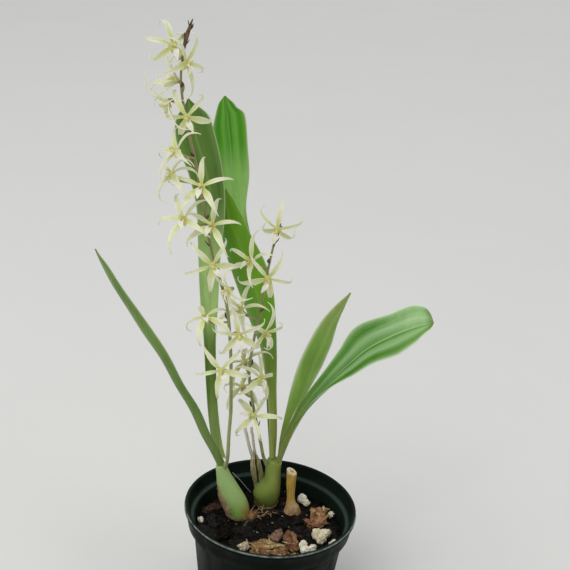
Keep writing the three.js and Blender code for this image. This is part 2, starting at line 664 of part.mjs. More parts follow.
// Loose chips on the mix: middle [x, y, z], corners [x, y] round it, height and tilt in degrees
const CHIPS = {
  bark_chip_right: {
    at: [37, 10.5, 83],
    corners: [[-4, 10.5], [8, 12], [5, -6], [0, -11], [-8.5, -8.5]],
    height: 5,
    tilt: [9, -6],
    colour: 0x9a6038,
  },
  bark_chip_pinkish: {
    at: [6.5, -14, 81.6],
    corners: [[-7, -1], [3.5, 8.5], [5, 3], [1.5, -7], [-3.5, -5.5]],
    height: 3.6,
    tilt: [8, -5],
    colour: 0x8f6a5a,
  },
  bark_chip_orange: {
    at: [17, -19.5, 82.2],
    corners: [[-3.5, 11], [4.5, 7], [6, -3.5], [3.5, -11], [-4, -5], [-6, 2.5]],
    height: 5,
    tilt: [9, 6],
    colour: 0x96592f,
  },
  bark_chip_front: {
    at: [10, -34.5, 81.6],
    corners: [[-5.5, 2.5], [-0.5, 6], [6, 0], [2, -4.5], [-4.5, -4.5]],
    height: 3.6,
    tilt: [10, 4],
    colour: 0x8a4a2c,
  },
  bark_chip_tan: {
    at: [-4, -31, 81.8],
    corners: [[-8, 1.5], [-2, 8.5], [5, 9], [10.5, 6], [6.5, -0.5], [6, -6.5], [-4, -8]],
    height: 4.6,
    tilt: [6, 4],
    colour: 0xa58a55,
  },
  bark_chip_left: {
    at: [-45, 15, 81.8],
    corners: [[-7.5, -3], [-2, 4.5], [6.5, 5.5], [7.5, 0.5], [-3.5, -5.5]],
    height: 4,
    tilt: [5, -4],
    colour: 0x6a4030,
  },
  wood_chip_pale: {
    at: [-17, -30.5, 82],
    corners: [[-5, -1], [2, 7], [3.5, 0], [-0.5, -6.5]],
    height: 4,
    tilt: [8, 6],
    colour: 0xcab894,
  },
};

// Lumps of perlite and charcoal: lobes [x, y, z, radius]
const LUMPS = {
  perlite_back_right: { lobes: [[24, 36.5, 83.8, 4.6], [28, 32.5, 82.8, 3.4]], colour: 0xdfe5d2 },
  perlite_far_right: { lobes: [[47, 20, 82.8, 2.9], [46.6, 16.8, 82.4, 2.2]], colour: 0xdcd8cc },
  perlite_right_large: {
    lobes: [[36.5, -10, 84, 5.2], [43.5, -8, 84, 5], [40, -14.5, 83, 5]],
    colour: 0xe2dfcf,
  },
  perlite_front: {
    lobes: [[26.5, -25.5, 84, 4.2], [28, -31, 83.5, 4.6], [33.6, -27.8, 83.5, 4]],
    colour: 0xe9e8de,
  },
  perlite_left: { lobes: [[-52.4, -1.3, 83, 2.5], [-51.6, -3.6, 82.4, 1.9]], colour: 0xdcd8cc },
  perlite_rim: { lobes: [[46.8, -19.2, 83, 2.4], [49.2, -15.8, 83, 2.4]], colour: 0xe4e4da },
  charcoal_left: { lobes: [[-44.4, 0, 80.8, 5], [-42, -6, 80.6, 4.8]], colour: 0x2e2f30 },
};

function chip({ at, corners, height, tilt }, grow = 0) {
  const levels = [[-height / 2 - grow, 0.86], [-height * 0.1, 1], [height / 2 + grow, 0.88]];
  const rings = levels.map(([z, scale]) => corners.map(([x, y]) => {
    const reach = scale * (1 + grow / Math.hypot(x, y));
    return v(x * reach, y * reach, z);
  }));
  const place = new THREE.Matrix4().makeRotationFromEuler(
    new THREE.Euler(radians(tilt[0]), radians(tilt[1]), 0, 'ZYX'),
  );
  place.setPosition(...at);
  return loft(rings).transform(place.elements);
}

function lump({ lobes }, grow = 0) {
  const parts = lobes.map(([x, y, z, radius]) => {
    const ball = new THREE.IcosahedronGeometry(radius + grow, 0);
    ball.translate(x, y, z);
    return solidOf(ball);
  });
  return parts.reduce((whole, part) => whole.add(part));
}

// Potting mix: fills the pot to a rough top of flat, tilted chips
function mixChips() {
  const draw = seeded(11);
  return Array.from({ length: MIX_CHIP_COUNT }, () => {
    const away = 54 * Math.sqrt(draw());
    const round = draw() * 2 * Math.PI;
    return {
      x: away * Math.cos(round),
      y: away * Math.sin(round),
      turn: draw() * Math.PI,
      half: [3.5 + 3.5 * draw(), 2.5 + 2 * draw()],
      slope: [spread(draw, 0.25), spread(draw, 0.25)],
      lift: 0.4 + 1.8 * draw(),
    };
  });
}

function mixHeight(x, y, chips) {
  let height = MIX_Z + 0.6 * Math.sin(0.21 * x + 1) * Math.cos(0.17 * y);
  for (const flake of chips) {
    const [dx, dy] = [x - flake.x, y - flake.y];
    const along = dx * Math.cos(flake.turn) + dy * Math.sin(flake.turn);
    const across = dy * Math.cos(flake.turn) - dx * Math.sin(flake.turn);
    if (Math.abs(along) < flake.half[0] && Math.abs(across) < flake.half[1]) {
      const top = MIX_Z + flake.lift + along * flake.slope[0] + across * flake.slope[1];
      height = Math.max(height, top);
    }
  }
  return height;
}

function mixRadius(z) {
  const t = (z - FLOOR_THICKNESS) / (LEDGE_Z - 3 - FLOOR_THICKNESS);
  const inner = lerp(BASE_RADIUS - WALL_THICKNESS, LEDGE_INNER_RADIUS - WALL_THICKNESS / 2, t);
  return inner * Math.cos(Math.PI / POT_SIDES) - GAP;
}

function mixBody() {
  const chips = mixChips();
  const bottom = FLOOR_THICKNESS + GAP;
  const points = [v(0, 0, bottom), v(0, 0, mixHeight(0, 0, chips))];
  const ring = (radius, height) => circle(MIX_SPOKES).map(([c, s]) => {
    points.push(v(radius * c, radius * s, height(radius * c, radius * s)));
    return points.length - 1;
  });
  const index = [];
  const rings = [];
  for (let i = 1; i < MIX_RINGS; i += 1) {
    const radius = (mixRadius(MIX_Z) - 0.5) * (i / MIX_RINGS);
    rings.push(ring(radius, (x, y) => mixHeight(x, y, chips)));
  }
  rings.push(ring(mixRadius(MIX_Z - 0.5), () => MIX_Z - 0.5));
  rings.push(ring(mixRadius(bottom), () => bottom));
  for (let s = 0; s < MIX_SPOKES; s += 1) {
    const next = (s + 1) % MIX_SPOKES;
    index.push(1, rings[0][s], rings[0][next]);
    index.push(0, rings.at(-1)[next], rings.at(-1)[s]);
    for (let r = 0; r < rings.length - 1; r += 1) {
      index.push(rings[r][s], rings[r + 1][s], rings[r + 1][next]);
      index.push(rings[r][s], rings[r + 1][next], rings[r][next]);
    }
  }
  return solidOf(indexedGeometry(points, index));
}

function pottingMix(sockets) {
  return mainPiece(sockets.reduce((mix, socket) => mix.subtract(socket), mixBody()));
}

// Assembly

function meshOf(name, solid, colour, roughness, metalness = 0) {
  const material = new THREE.MeshStandardMaterial({ color: colour, roughness, metalness });
  const mesh = new THREE.Mesh(geometryOf(solid), material);
  mesh.name = name;
  return mesh;
}

const plant = new THREE.Group();
plant.add(meshOf('pot', potSolid(), 0x22332b, 0.45));

const wideLeft = leftBulb(GAP);
const wideMiddle = middleBulb(GAP);
const wideStump = stump(GAP);
const wideDry = driedShoot(GAP);
const creeping = [wideLeft, wideMiddle, wideStump, wideDry].reduce((solid, cut) => solid.subtract(cut), rhizome());
plant.add(meshOf('pseudobulb_left', leftBulb(), 0x8fae6a, 0.5));
plant.add(meshOf('pseudobulb_middle', middleBulb(), 0x77893f, 0.5));
plant.add(meshOf('cut_stump', stump(), 0xb8823e, 0.7));
plant.add(meshOf('dried_old_shoot', driedShoot(), 0xb39a72, 0.85));
plant.add(meshOf('rhizome', mainPiece(creeping), 0x8a6a48, 0.8));

const sockets = [wideLeft, wideMiddle, wideStump, wideDry, rhizome(GAP)];
for (const [name, spec] of Object.entries(CHIPS)) {
  plant.add(meshOf(name, chip(spec), spec.colour, 0.85));
  sockets.push(chip(spec, CHIP_GAP));
}
for (const [name, spec] of Object.entries(LUMPS)) {
  plant.add(meshOf(name, lump(spec), spec.colour, 0.9));
  sockets.push(lump(spec, GAP));
}
plant.add(meshOf('potting_mix', pottingMix(sockets), 0x2a2622, 0.95));

for (const [name, spec] of Object.entries(LEAVES)) {
  const seated = leafSolid(spec).subtract(wideLeft).subtract(wideMiddle);
  plant.add(meshOf(name, mainPiece(seated), spec.colour, 0.4));
}

for (const [letter, spec] of Object.entries(FLOWER_STEMS)) {
  const carrier = letter === 'a' ? wideLeft : wideMiddle;
  plant.add(meshOf(spec.name, mainPiece(flowerStem(spec).subtract(carrier)), 0x6f7440, 0.6));
  const wideStem = flowerStem(spec, GAP);
  BLOOMS[letter].forEach((bloom, i) => {
    const solid = bloomSolid(bloom, spec.points, 100 * (letter === 'a' ? 1 : 2) + i).subtract(wideStem);
    const number = String(i + 1).padStart(2, '0');
    plant.add(meshOf(`bloom_${letter}_${number}`, mainPiece(solid), 0xd9d9a6, 0.55));
  });
}

export default plant;
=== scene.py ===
"""Potted Eria javanica: the finished look of every piece, built round the plant's frame.

Places and sizes in the tables are millimetres in the frame's own axes: +Z up, the front is -Y and
the right is +X. Meshes are made in metres.
"""

import contextlib
import itertools
import math

import bpy
from bpy.props import FloatProperty, FloatVectorProperty, IntProperty, PointerProperty
from mathutils import Color, Matrix, Vector, noise


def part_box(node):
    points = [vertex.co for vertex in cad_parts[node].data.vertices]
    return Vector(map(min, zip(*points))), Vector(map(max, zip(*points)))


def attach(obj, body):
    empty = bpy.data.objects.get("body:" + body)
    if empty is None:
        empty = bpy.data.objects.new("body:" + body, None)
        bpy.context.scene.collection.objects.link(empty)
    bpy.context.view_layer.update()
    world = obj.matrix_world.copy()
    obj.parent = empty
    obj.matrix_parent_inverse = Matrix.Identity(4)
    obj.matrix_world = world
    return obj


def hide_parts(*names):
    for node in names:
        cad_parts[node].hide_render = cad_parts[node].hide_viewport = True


bl_info = {
    "name": "Potted Eria javanica",
    "version": (1, 0, 0),
    "blender": (4, 5, 0),
    "location": "3D View > Sidebar > Orchid",
    "description": "Builds the finished pot, mix, bulbs, leaves and blooms of a potted orchid",
    "category": "Object",
}

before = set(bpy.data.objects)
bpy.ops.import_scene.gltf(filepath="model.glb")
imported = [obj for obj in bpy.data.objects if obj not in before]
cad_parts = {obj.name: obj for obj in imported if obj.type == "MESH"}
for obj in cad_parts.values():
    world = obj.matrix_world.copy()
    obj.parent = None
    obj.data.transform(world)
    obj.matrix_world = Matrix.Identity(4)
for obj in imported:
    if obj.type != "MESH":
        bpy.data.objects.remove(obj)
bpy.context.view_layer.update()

MM = 0.001
BODY = "root"
EVEN = (1, 1, 1)

# Pot, as radius and height
POT_FLOOR = 2.4
POT_PROFILE = [
    (46.2, 0), (47.1, 0.4), (47.5, 1.4), (50.4, 25), (53.9, 54), (57.4, 82.2), (58.2, 83.4),
    (61.2, 83.8), (61.6, 84.4), (62.6, 90), (64.1, 95.8), (64.8, 96.8), (65, 98), (64.8, 99.4),
    (64.2, 100), (63, 100), (62.2, 99.5), (61.4, 96), (60.1, 90.6), (59.4, 89.6), (57.4, 89.1),
    (56.7, 88.6), (56.2, 86), (51, 44), (46.6, 8), (46.1, 4), (45.9, POT_FLOOR),
]
DRAIN_HOLES = {"count": 6, "radius": 5, "ring": 34}

# Swollen stems, as [x, y, z, radius]
LEFT_BULB = [
    (-21.5, 11, 77, 5.5), (-23.6, 11.3, 83, 8.4), (-26.8, 11.8, 90, 9.5), (-31, 12.3, 98, 9),
    (-35.2, 13, 108, 7.2), (-38.4, 13.6, 117, 5.8), (-41, 14, 125, 5),
]
MIDDLE_BULB = [
    (-2.5, 30.5, 76, 4.4), (-3, 30, 81, 7.6), (-3.8, 29.5, 88, 10), (-4, 29.2, 96, 10.6),
    (-3, 29.2, 104, 9.4), (-1.2, 29.4, 113, 7), (1, 29.7, 123, 5.8),
]
RHIZOME = [
    (-26, 9, 77, 2.6), (-20, 8.5, 78, 4), (-13, 12, 80, 4.4), (-6, 18, 78.5, 4.2),
    (2, 21, 77.5, 3.8), (10, 21, 77, 3.6), (17, 22, 76.5, 3),
]
ROOTS = [
    [(-15, 10, 80, 1.6), (-17, 2, 81.5, 1.4), (-19, -7, 80.6, 1.3), (-20, -14, 76, 1)],
    [(-13, 9, 80, 1.6), (-14, 0, 81, 1.3), (-14.5, -8, 79.5, 1.2), (-14, -14, 75, 1)],
]
STUMP = [
    (17.5, 22, 78, 6.8), (17, 22, 82.5, 6.2), (15.8, 22, 88, 3.8), (15.2, 22, 93, 2.9),
    (14.6, 22, 101, 3.3), (14, 22, 121, 3.9),
]
STUMP_CUT = {"z": 117.5, "slope": 24}
STUMP_HOLLOW = {"radius": 2.3, "depth": 6}
DRY_SHEATH = [(-8.5, 44, 76, 3), (-10.5, 43, 90, 3.6), (-13.5, 39.5, 106, 4.4), (-15.5, 37, 118, 3)]
DRY_STUBS = [
    [(-14, 37.2, 112, 1.7), (-19, 36.6, 124, 1.3), (-25, 36, 146, 1.2)],
    [(-13.5, 37, 112, 1.6), (-16.5, 38.5, 126, 1.2), (-19.5, 39, 143, 1)],
]
# Dry thread between the bulbs, as [x, y, z]
THREAD = [(-30.6, 6, 122), (-27.5, 8, 117.9), (-23.9, 11, 111.9), (-19.9, 16, 103.6), (-15.8, 20, 96.3)]

# Leaves: midrib points [x, y, z, half width to the left, to the right, fold in degrees] and the
# directions that the upper side looks at foot, middle and tip
LEAVES = {
    "leaf_left_outer": {
        "points": [
            (-41.8, 9.2, 125.4, 5.6, 5.6, 60), (-47.2, 9.2, 136, 5.8, 5.8, 56),
            (-55.2, 9.6, 150, 6.2, 6.2, 54), (-64.2, 9, 170, 6.8, 6.8, 48),
            (-76.2, 5, 193, 7.6, 7.6, 42), (-87.6, 2, 216, 8.6, 8.6, 36),
            (-100.4, 0, 236, 9.4, 9.4, 32), (-111.5, -3, 256, 9.4, 9.4, 26),
            (-122, -6, 275, 8, 8, 22), (-129, -9, 291, 5, 5, 18), (-134, -11, 303, 0.8, 0.8, 10),
        ],
        "faces": [(0.5, 0.8, 0.3), (0.75, 0.6, 0.45), (0.75, 0.6, 0.4)],
        "wave": 0.5,
    },
    "leaf_upright_dark": {
        "points": [
            (-40.2, 19.6, 125.8, 5.8, 5.8, 60), (-44, 21.6, 138, 5.8, 5.8, 56),
            (-48, 23.4, 160, 5.8, 5.8, 55), (-51, 25, 186, 5.8, 5.8, 55),
            (-54, 28, 221, 6.3, 6.3, 50), (-56, 32, 251, 8.4, 8.4, 42), (-58, 36, 285, 9.3, 9.3, 34),
            (-59.5, 40, 323, 11.3, 11.3, 25), (-65, 42, 348, 13, 13, 20),
            (-73, 43, 371, 14.4, 14.4, 16), (-77, 44, 386, 11.4, 11.4, 12),
            (-80, 44, 398, 0.8, 0.8, 8),
        ],
        "faces": [(0.1, -1, 0.1), (-0.15, -1, 0.15), (0, -1, 0.25)],
        "wave": 0.6,
    },
    "leaf_middle": {
        "points": [
            (-2.4, 26.2, 124.6, 3.8, 3.8, 58), (-3.4, 28.6, 144, 4.6, 4.6, 56),
            (-7, 34, 179, 5.2, 5.2, 55), (-12, 41, 210, 7.6, 8.6, 42),
            (-17, 46, 229, 10.4, 12.4, 30), (-24, 50, 254, 13, 15.6, 22),
            (-32, 53, 273, 13, 15, 18), (-41, 55, 293, 10.5, 13.5, 16),
            (-47.5, 56, 307, 10, 11.2, 14), (-50, 57, 320, 5.5, 5.5, 12), (-51, 57, 329, 0.8, 0.8, 8),
        ],
        "faces": [(0.3, 0.9, 0.2), (0.1, 1, 0.1), (0.2, 1, 0)],
        "wave": 0.5,
    },
    "leaf_back": {
        "points": [
            (-1, 34.2, 121, 3.6, 3.6, 58), (-4, 42, 150, 4.8, 4.8, 56), (-9, 54, 190, 6, 6, 52),
            (-20, 64, 235, 8, 7, 40), (-34.5, 69, 278, 9.5, 7.5, 26), (-43.5, 72, 308, 11.5, 8.4, 20),
            (-48, 73, 335, 12.3, 13.4, 18), (-50.5, 74, 356, 12.2, 13.2, 16),
            (-53, 75, 371, 11.2, 13.6, 14), (-54.2, 75, 380, 8.8, 12.4, 12),
            (-55, 75, 384, 7.4, 7.8, 12), (-56, 75, 388.5, 5, 5, 10), (-56.6, 75, 393, 0.8, 0.8, 6),
        ],
        "faces": [(-0.2, -1, 0.1), (0, -1, 0.1), (0.15, -1, 0.1)],
        "wave": 0.4,
    },
    "leaf_right_narrow": {
        "points": [
            (4.4, 33, 121, 3, 3, 58), (6.5, 32, 141, 3.8, 3.8, 54), (10, 28.5, 160, 4.2, 5.6, 46),
            (16.3, 24, 181, 7.2, 9.4, 34), (22.3, 18, 209, 8.8, 11, 22), (27.6, 13, 231, 8, 10.4, 18),
            (32.6, 9, 251, 5, 7.6, 16), (38.6, 6, 267, 2.4, 4.4, 14), (43.5, 4, 279, 0.7, 0.7, 12),
        ],
        "faces": [(-0.9, 0.1, 0.4), (-0.25, 0.9, 0.3), (-0.1, 0.95, 0.2)],
        "wave": 0.3,
    },
    "leaf_right_broad": {
        "points": [
            (4.8, 26.6, 121, 4.2, 4.2, 58), (8.5, 24, 137, 6.4, 6.4, 56), (13, 21.5, 153, 6, 7.4, 54),
            (22.5, 16, 179, 7, 8.8, 46), (36, 9, 205, 9.4, 11.4, 36), (49, 3, 225, 13.4, 13.4, 24),
            (60, -2, 240, 18.2, 14.2, 16), (77, -7, 255, 15.6, 17, 12), (90, -11, 264, 15.8, 12.4, 12),
            (97.5, -13.5, 268, 12.8, 5.8, 10), (101.8, -15, 270.4, 9, 3.4, 6),
        ],
        "round": True,
        "faces": [(-0.8, 0.2, 0.5), (-0.45, -0.6, 0.6), (-0.2, -0.72, 0.65)],
        "wave": 0.8,
    },
}
LEAF_THICKNESS = 0.9
LEAF_WAVES = 3
LEAF_FOLD_SHARE = (0.325, 1.425)
# How much of a leaf's pleats shows, from foot to tip
PLEAT_SHARES = (0, 0, 1, 1, 1, 1, 0.4)
ROUND_TIP = 0.07

# Flower stems, [x, y, z, radius] from the bulb up, the bud at the tip and the bracts on them
FLOWER_STEMS = {
    "a": {
        "name": "flower_stem_left",
        "points": [
            (-37.2, 12.4, 120, 1.9), (-35.2, 6.6, 132, 1.9), (-35.2, 6, 155, 1.8),
            (-34.8, 3, 177, 1.8), (-35.5, 0, 196, 1.7), (-38, -3, 234, 1.6), (-43, -6, 270, 1.5),
            (-53, -8, 301, 1.4), (-60.5, -8, 333, 1.4), (-69, -8, 372, 1.3), (-76, -9, 399, 1.2),
            (-80.5, -10, 426, 1.1), (-79.5, -11, 448, 1),
        ],
        "tip": [(-79.5, -11, 446, 1.2), (-78, -11.4, 455, 2), (-76, -12, 462, 1.4), (-74.5, -12.3, 467, 0.5)],
        "bracts": (5, 12, 12),
    },
    "b": {
        "name": "flower_stem_right",
        "points": [
            (-4.6, 27, 116, 1.8), (-8.5, 22.5, 128, 1.7), (-11, 20, 140, 1.6), (-15, 18, 157, 1.6),
            (-20, 16, 180, 1.5), (-23.6, 14, 204, 1.4), (-22.3, 14, 227, 1.4), (-18.2, 14, 263, 1.3),
            (-15.5, 13, 288, 1.2), (-12.8, 12, 308, 1),
        ],
        "tip": [(-13, 12, 306, 1), (-11.6, 12.5, 313, 1.8), (-10, 13.5, 319, 1.2), (-9, 14, 323, 0.5)],
        "bracts": (3, 9, 8),
    },
}
BRACT = {"length": 4.5, "out": 2.4, "half": 1.2, "turn": 2.4, "lift": 0.6}
TIP_BRACTS = {"count": 5, "first": 0.15, "step": 0.14, "scale": 0.8}
SLIM = 0.76

# Blooms: place, the way each faces (0 to the front, 90 to the right), tilt up, turn of the star
# about its own axis, and how far its sepals and petals are swept back
BLOOMS = {
    "a": [
        ((-86, -19, 451), 35, 10, 0, 40), ((-77, -16, 439), 60, 15, 45, 0),
        ((-84, -7, 425), -70, 15, 105, -35), ((-89, -14, 412), -65, -35, -5, -10),
        ((-75, -17, 404), 5, -5, -30, 35), ((-81, -20, 381), -65, 35, -50, -5),
        ((-84, -11, 362), -75, 45, -45, 25), ((-63, -20, 358), -15, 30, -5, 0),
        ((-74, -18, 333), -35, 35, -40, -5), ((-55, -15, 329), -20, 35, 0, 0),
        ((-53, -18, 301), 15, 5, -40, 10), ((-41, -18, 284), -60, -15, -55, 0),
        ((-56, -13, 259), -30, 60, -50, 30), ((-32, -14, 248), 10, -5, -10, 5),
        ((-43, -13, 218), 5, 10, -35, 5),
    ],
    "b": [
        ((-11, 1, 324), -10, -20, 10, 30), ((-28, 5, 296), -50, 45, -15, -20),
        ((-15, 1, 286), 10, -10, 30, 10), ((-33, 13, 255), -50, 50, -15, -5),
        ((-14, 2, 243), 50, -5, 15, 0), ((-28, 23, 208), 205, 20, 15, 15),
        ((-15, 8, 203), 50, 30, 30, 20), ((-28, 19, 189), 190, 10, 0, 30),
        ((-18, 10, 170), -20, 40, 80, 20),
    ],
}
# Sepals and petals round the star: angle from the top, length, half widths at the root, near it
# and in the middle, lean off the axis at root and tip, and sideways sweep
TEPALS = [
    {"angle": 0, "length": 25, "halves": (0.85, 2, 1.75), "lean": (54, 114), "sweep": 0},
    {"angle": 62, "length": 23.6, "halves": (0.75, 1.45, 1.35), "lean": (58, 116), "sweep": 22},
    {"angle": 130, "length": 26, "halves": (1.1, 2.5, 1.7), "lean": (60, 118), "sweep": 22},
    {"angle": 230, "length": 26, "halves": (1.1, 2.5, 1.7), "lean": (60, 118), "sweep": -22},
    {"angle": 298, "length": 23.6, "halves": (0.75, 1.45, 1.35), "lean": (58, 116), "sweep": -22},
]
TEPAL_DRAW = {"angle": 4, "lean": 8, "length": 0.07}
TEPAL_HOOK = {"start": 0.5, "angle": 58}
TEPAL_THICKNESS = 0.8
TEPAL_LEAD = 0.125
ROOT_RING = 2
STALK_RADII = (1.3, 1.4, 1, 0.85)
STALK_DROP = 7
LIP_ROWS = [(0, -1.2, 0.6), (2.8, -2.6, 1.9), (5, -4.6, 2.1), (5.8, -9, 0.35)]
# Column of a bloom, as way out, height and radius
COLUMN = [(0.2, 0, 1.4), (2, 0.1, 1.15), (3.8, 0.4, 1.1), (4.8, 0.5, 1.3), (5.3, 0.45, 0.8)]

# Loose pieces on the mix: the frame's nodes, with the finish of each
BARK_CHIPS = {
    "bark_chip_right": ("#b87e4c", "#6c4228", 0.5),
    "bark_chip_pinkish": ("#a07a68", "#5e4034", 0.4),
    "bark_chip_orange": ("#9a5c2e", "#4d2814", 0.4),
    "bark_chip_front": ("#94502e", "#54281a", 0.35),
    "bark_chip_left": ("#54301f", "#24140e", 0.08),
    "bark_chip_tan": ("#c4a268", "#80613a", 0.5),
    "wood_chip_pale": ("#fff4dc", "#cdb88c", 0.5),
}
PERLITE_LUMPS = (
    "perlite_back_right", "perlite_far_right", "perlite_right_large",
    "perlite_front", "perlite_left", "perlite_rim",
)
SLIVER_SHARE = 0.55
CRUMB_REACH = 51.5
# Heights above which the mix's faces are cut finer, its points are roughened and crumbs find ground
MIX_TOP = {"faces": 0.079, "points": 0.0796, "ground": 0.0785, "radius": 0.0535}
# Lumps of the mix, coarse and fine, as how close they lie and their height
MIX_LUMPS = [(420, 0.9), (1100, 0.45)]
# White bits on the mix, as [x, y, size]
WHITE_BITS = [
    (-31.9, 2.7, 1.8), (-42.5, 21.1, 1.7), (0.8, 22.2, 1.5), (3, 4.8, 2), (15.1, 0.4, 1.8),
    (-0.2, -8.7, 1.6), (-11.2, -7.8, 1.5), (23.3, -1.4, 1.7), (-15.7, -19.7, 1.4), (49.1, -3.5, 1.8),
    (4, -25, 4.2),
]
# Parts of the mix that crumbs fall on, as lowest and highest x, then y
WHOLE_MIX = (-52, 52, -52, 52)
LEFT_OF_MIX = (-52, -14, -36, 30)
# Crumbs on the mix: seed, rounds of cuts, one in how many, sizes, flatness, patch and finish
CRUMBS = {
    "mix_chunks": (31, 2, 12, (6, 13), 0.45, WHOLE_MIX, ("mix_chunk", "#12100d", "#060505", 0.5)),
    "mix_flakes": (35, 2, 45, (9, 16), 0.22, LEFT_OF_MIX, ("mix_flake", "#1b1613", "#0a0807", 0.42)),
    "mix_crumbs_dark": (32, 1, 2, (1.6, 5), 0.7, WHOLE_MIX, ("crumb_dark", "#15110d", "#090706", 0.6)),
    "mix_crumbs_brown": (33, 1, 6, (1.2, 4.5), 0.6, WHOLE_MIX, ("crumb_brown", "#452b1a", "#1f130c", 0.8)),
    "mix_crumbs_pale": (34, 1, 18, (0.8, 2), 0.8, WHOLE_MIX, ("crumb_pale", "#d8cdb0", "#8a7b5e", 0.8)),
}
# Heaps of splinters, with the patch and the share of each
SPLINTER_HEAPS = [("front", (-13, 22, -46, -24), 1), ("right", (31, 46, 2, 25), 0.22)]
SPLINTER_COLOURS = [("#b08e58", "#644a2c"), ("#c8b284", "#8a7044"), ("#8e5f48", "#46301f")]
# What stands in the mix, as [x, y, radius]
STANDING = [(-24, 11.4, 10), (-3.4, 29.8, 11), (17, 22, 7), (-9, 43, 5), (-13, 12, 5)]

# Camera at the photo's view point
CAMERA_PLACE = (-2.72, -829.33, 658.76)
CAMERA_DIP = 24.383
CAMERA_ROLL = 4.68
CAMERA_LENS = 82.37
SENSOR_WIDTH = 36

# Soft lights in metres: the setting of the power, the width and the place, and what they look at
LIGHTS = {
    "key_light": ("key_power", 2.2, (-1.15, -1.85, 3.2)),
    "fill_light": ("fill_power", 2.4, (3, -1.4, 2)),
    "back_light": ("rim_power", 2.6, (0.8, 3.2, 3)),
    "side_light": ("side_power", 0.9, (-2.5, -0.95, 1.5)),
}
LIGHT_TARGET = (-0.02, 0, 0.22)
SKY = {"Color": (0.95, 0.97, 1, 1), "Strength": 0.36}
FLOOR_HEIGHT = -0.0002

# Steps of the generator of draws
DRAW_STEP = 16807
DRAW_ROUND = 2147483647


def tint(code):
    """Linear colour of a six-figure colour code."""
    parts = [int(code[i:i + 2], 16) / 255 for i in (1, 3, 5)]
    return tuple(p / 12.92 if p < 0.04045 else ((p + 0.055) / 1.055) ** 2.4 for p in parts)


def rgba(colour):
    """Linear colour with full alpha, from a colour code or a colour property."""
    return (*(tint(colour) if isinstance(colour, str) else colour), 1)


def seeded(seed):
    """Small generator that gives the same numbers on every run."""
    state = seed

    def draw():
        nonlocal state
        state = state * DRAW_STEP % DRAW_ROUND
        return state / DRAW_ROUND

    return draw


def spread(draw, amount):
    """Number drawn between minus and plus an amount."""
    return (draw() * 2 - 1) * amount


def lerp(low, high, share):
    """Value a share of the way from low to high."""
    return low + (high - low) * share


def step_at(values, share):
    """Number of the step between listed values at a share from 0 to 1, and how far along it that is."""
    last = len(values) - 1
    place = min(max(share, 0), 1) * last
    low = min(int(place), last - 1)
    return low, place - low


def between(values, share):
    """Value at a share from 0 to 1, on straight steps between the listed values."""
    low, part = step_at(values, share)
    return lerp(values[low], values[low + 1], part)


def curved_step(near, far, rise, fall, part):
    """Value between near and far, on a curve that leaves and arrives with given slopes."""
    square, cube = part * part, part * part * part
    return (
        near + rise * part + (3 * far - 3 * near - 2 * rise - fall) * square
        + (2 * near - 2 * far + rise + fall) * cube
    )


def smooth_between(values, share):
    """Value at a share from 0 to 1, on a smooth line through the listed values."""
    low, part = step_at(values, share)
    near, far = values[low], values[low + 1]
    before, after = values[max(low - 1, 0)], values[min(low + 2, len(values) - 1)]
    return curved_step(near, far, (far - before) / 2, (after - near) / 2, part)


class SmoothLine:
    """Centripetal curve through points, read at a share of its length from 0 to 1."""

    def __init__(self, points):
        self.points = [Vector(point[:3]) for point in points]

    def at(self, share):
        """Place on the line."""
        points = self.points
        low, part = step_at(points, share)
        near, far = points[low], points[low + 1]
        before = points[low - 1] if low > 0 else 2 * near - far
        after = points[low + 2] if low + 2 < len(points) else 2 * far - near
        lead, span, trail = [
            math.sqrt((b - a).length) for a, b in ((before, near), (near, far), (far, after))
        ]
        rise = (near - before) / lead - (far - before) / (lead + span) + (far - near) / span
        fall = (far - near) / span - (after - near) / (span + trail) + (after - far) / trail
        return curved_step(near, far, rise * span, fall * span, part)

    def along(self, share):
        """Direction of the line."""
        step = 0.0001
        return (self.at(share + step) - self.at(share - step)).normalized()


def pick(*pieces):
    """Selects only these pieces; the first one becomes active."""
    bpy.ops.object.select_all(action="DESELECT")
    for piece in pieces:
        piece.select_set(True)
    bpy.context.view_layer.objects.active = pieces[0]


@contextlib.contextmanager
def edit_mode(piece, wanted=None):
    """Edit mode on a piece, with every face selected or those that wanted(face) is true for."""
    pick(piece)
    bpy.ops.object.mode_set(mode="EDIT")
    bpy.ops.mesh.select_mode(type="FACE")
    bpy.ops.mesh.select_all(action="DESELECT" if wanted else "SELECT")
    if wanted:
        bpy.ops.object.mode_set(mode="OBJECT")
        for face in piece.data.polygons:
            face.select = wanted(face)
        bpy.ops.object.mode_set(mode="EDIT")
    yield
    bpy.ops.object.mode_set(mode="OBJECT")


def apply_modifier(piece, kind, **settings):
    """Adds a modifier with its settings and applies it."""
    pick(piece)
    modifier = piece.modifiers.new(kind.title(), kind)
    for key, value in settings.items():
        setattr(modifier, key, value)
    bpy.ops.object.modifier_apply(modifier=modifier.name)


def cut_away(piece, cutter):
    """Cuts a piece by another one, which is used up."""
    apply_modifier(piece, "BOOLEAN", operation="DIFFERENCE", solver="EXACT", object=cutter)
    bpy.data.objects.remove(cutter)


def face_outwards(piece):
    """Merges doubles and points every face outwards."""
    with edit_mode(piece):
        bpy.ops.mesh.remove_doubles(threshold=0.000001)
        bpy.ops.mesh.normals_make_consistent(inside=False)


def finish_piece(piece, name, material, smooth_angle=50):
    """Names and shades a piece on the plant's body; the frame node of that name is replaced."""
    pick(piece)
    is_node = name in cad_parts
    piece.name = piece.data.name = name + "_finish" if is_node else name
    bpy.ops.object.transform_apply(location=True, rotation=True, scale=True)
    bpy.ops.object.shade_smooth_by_angle(angle=math.radians(smooth_angle))
    if material:
        piece.data.materials.append(material)
    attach(piece, BODY)
    if is_node:
        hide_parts(name)


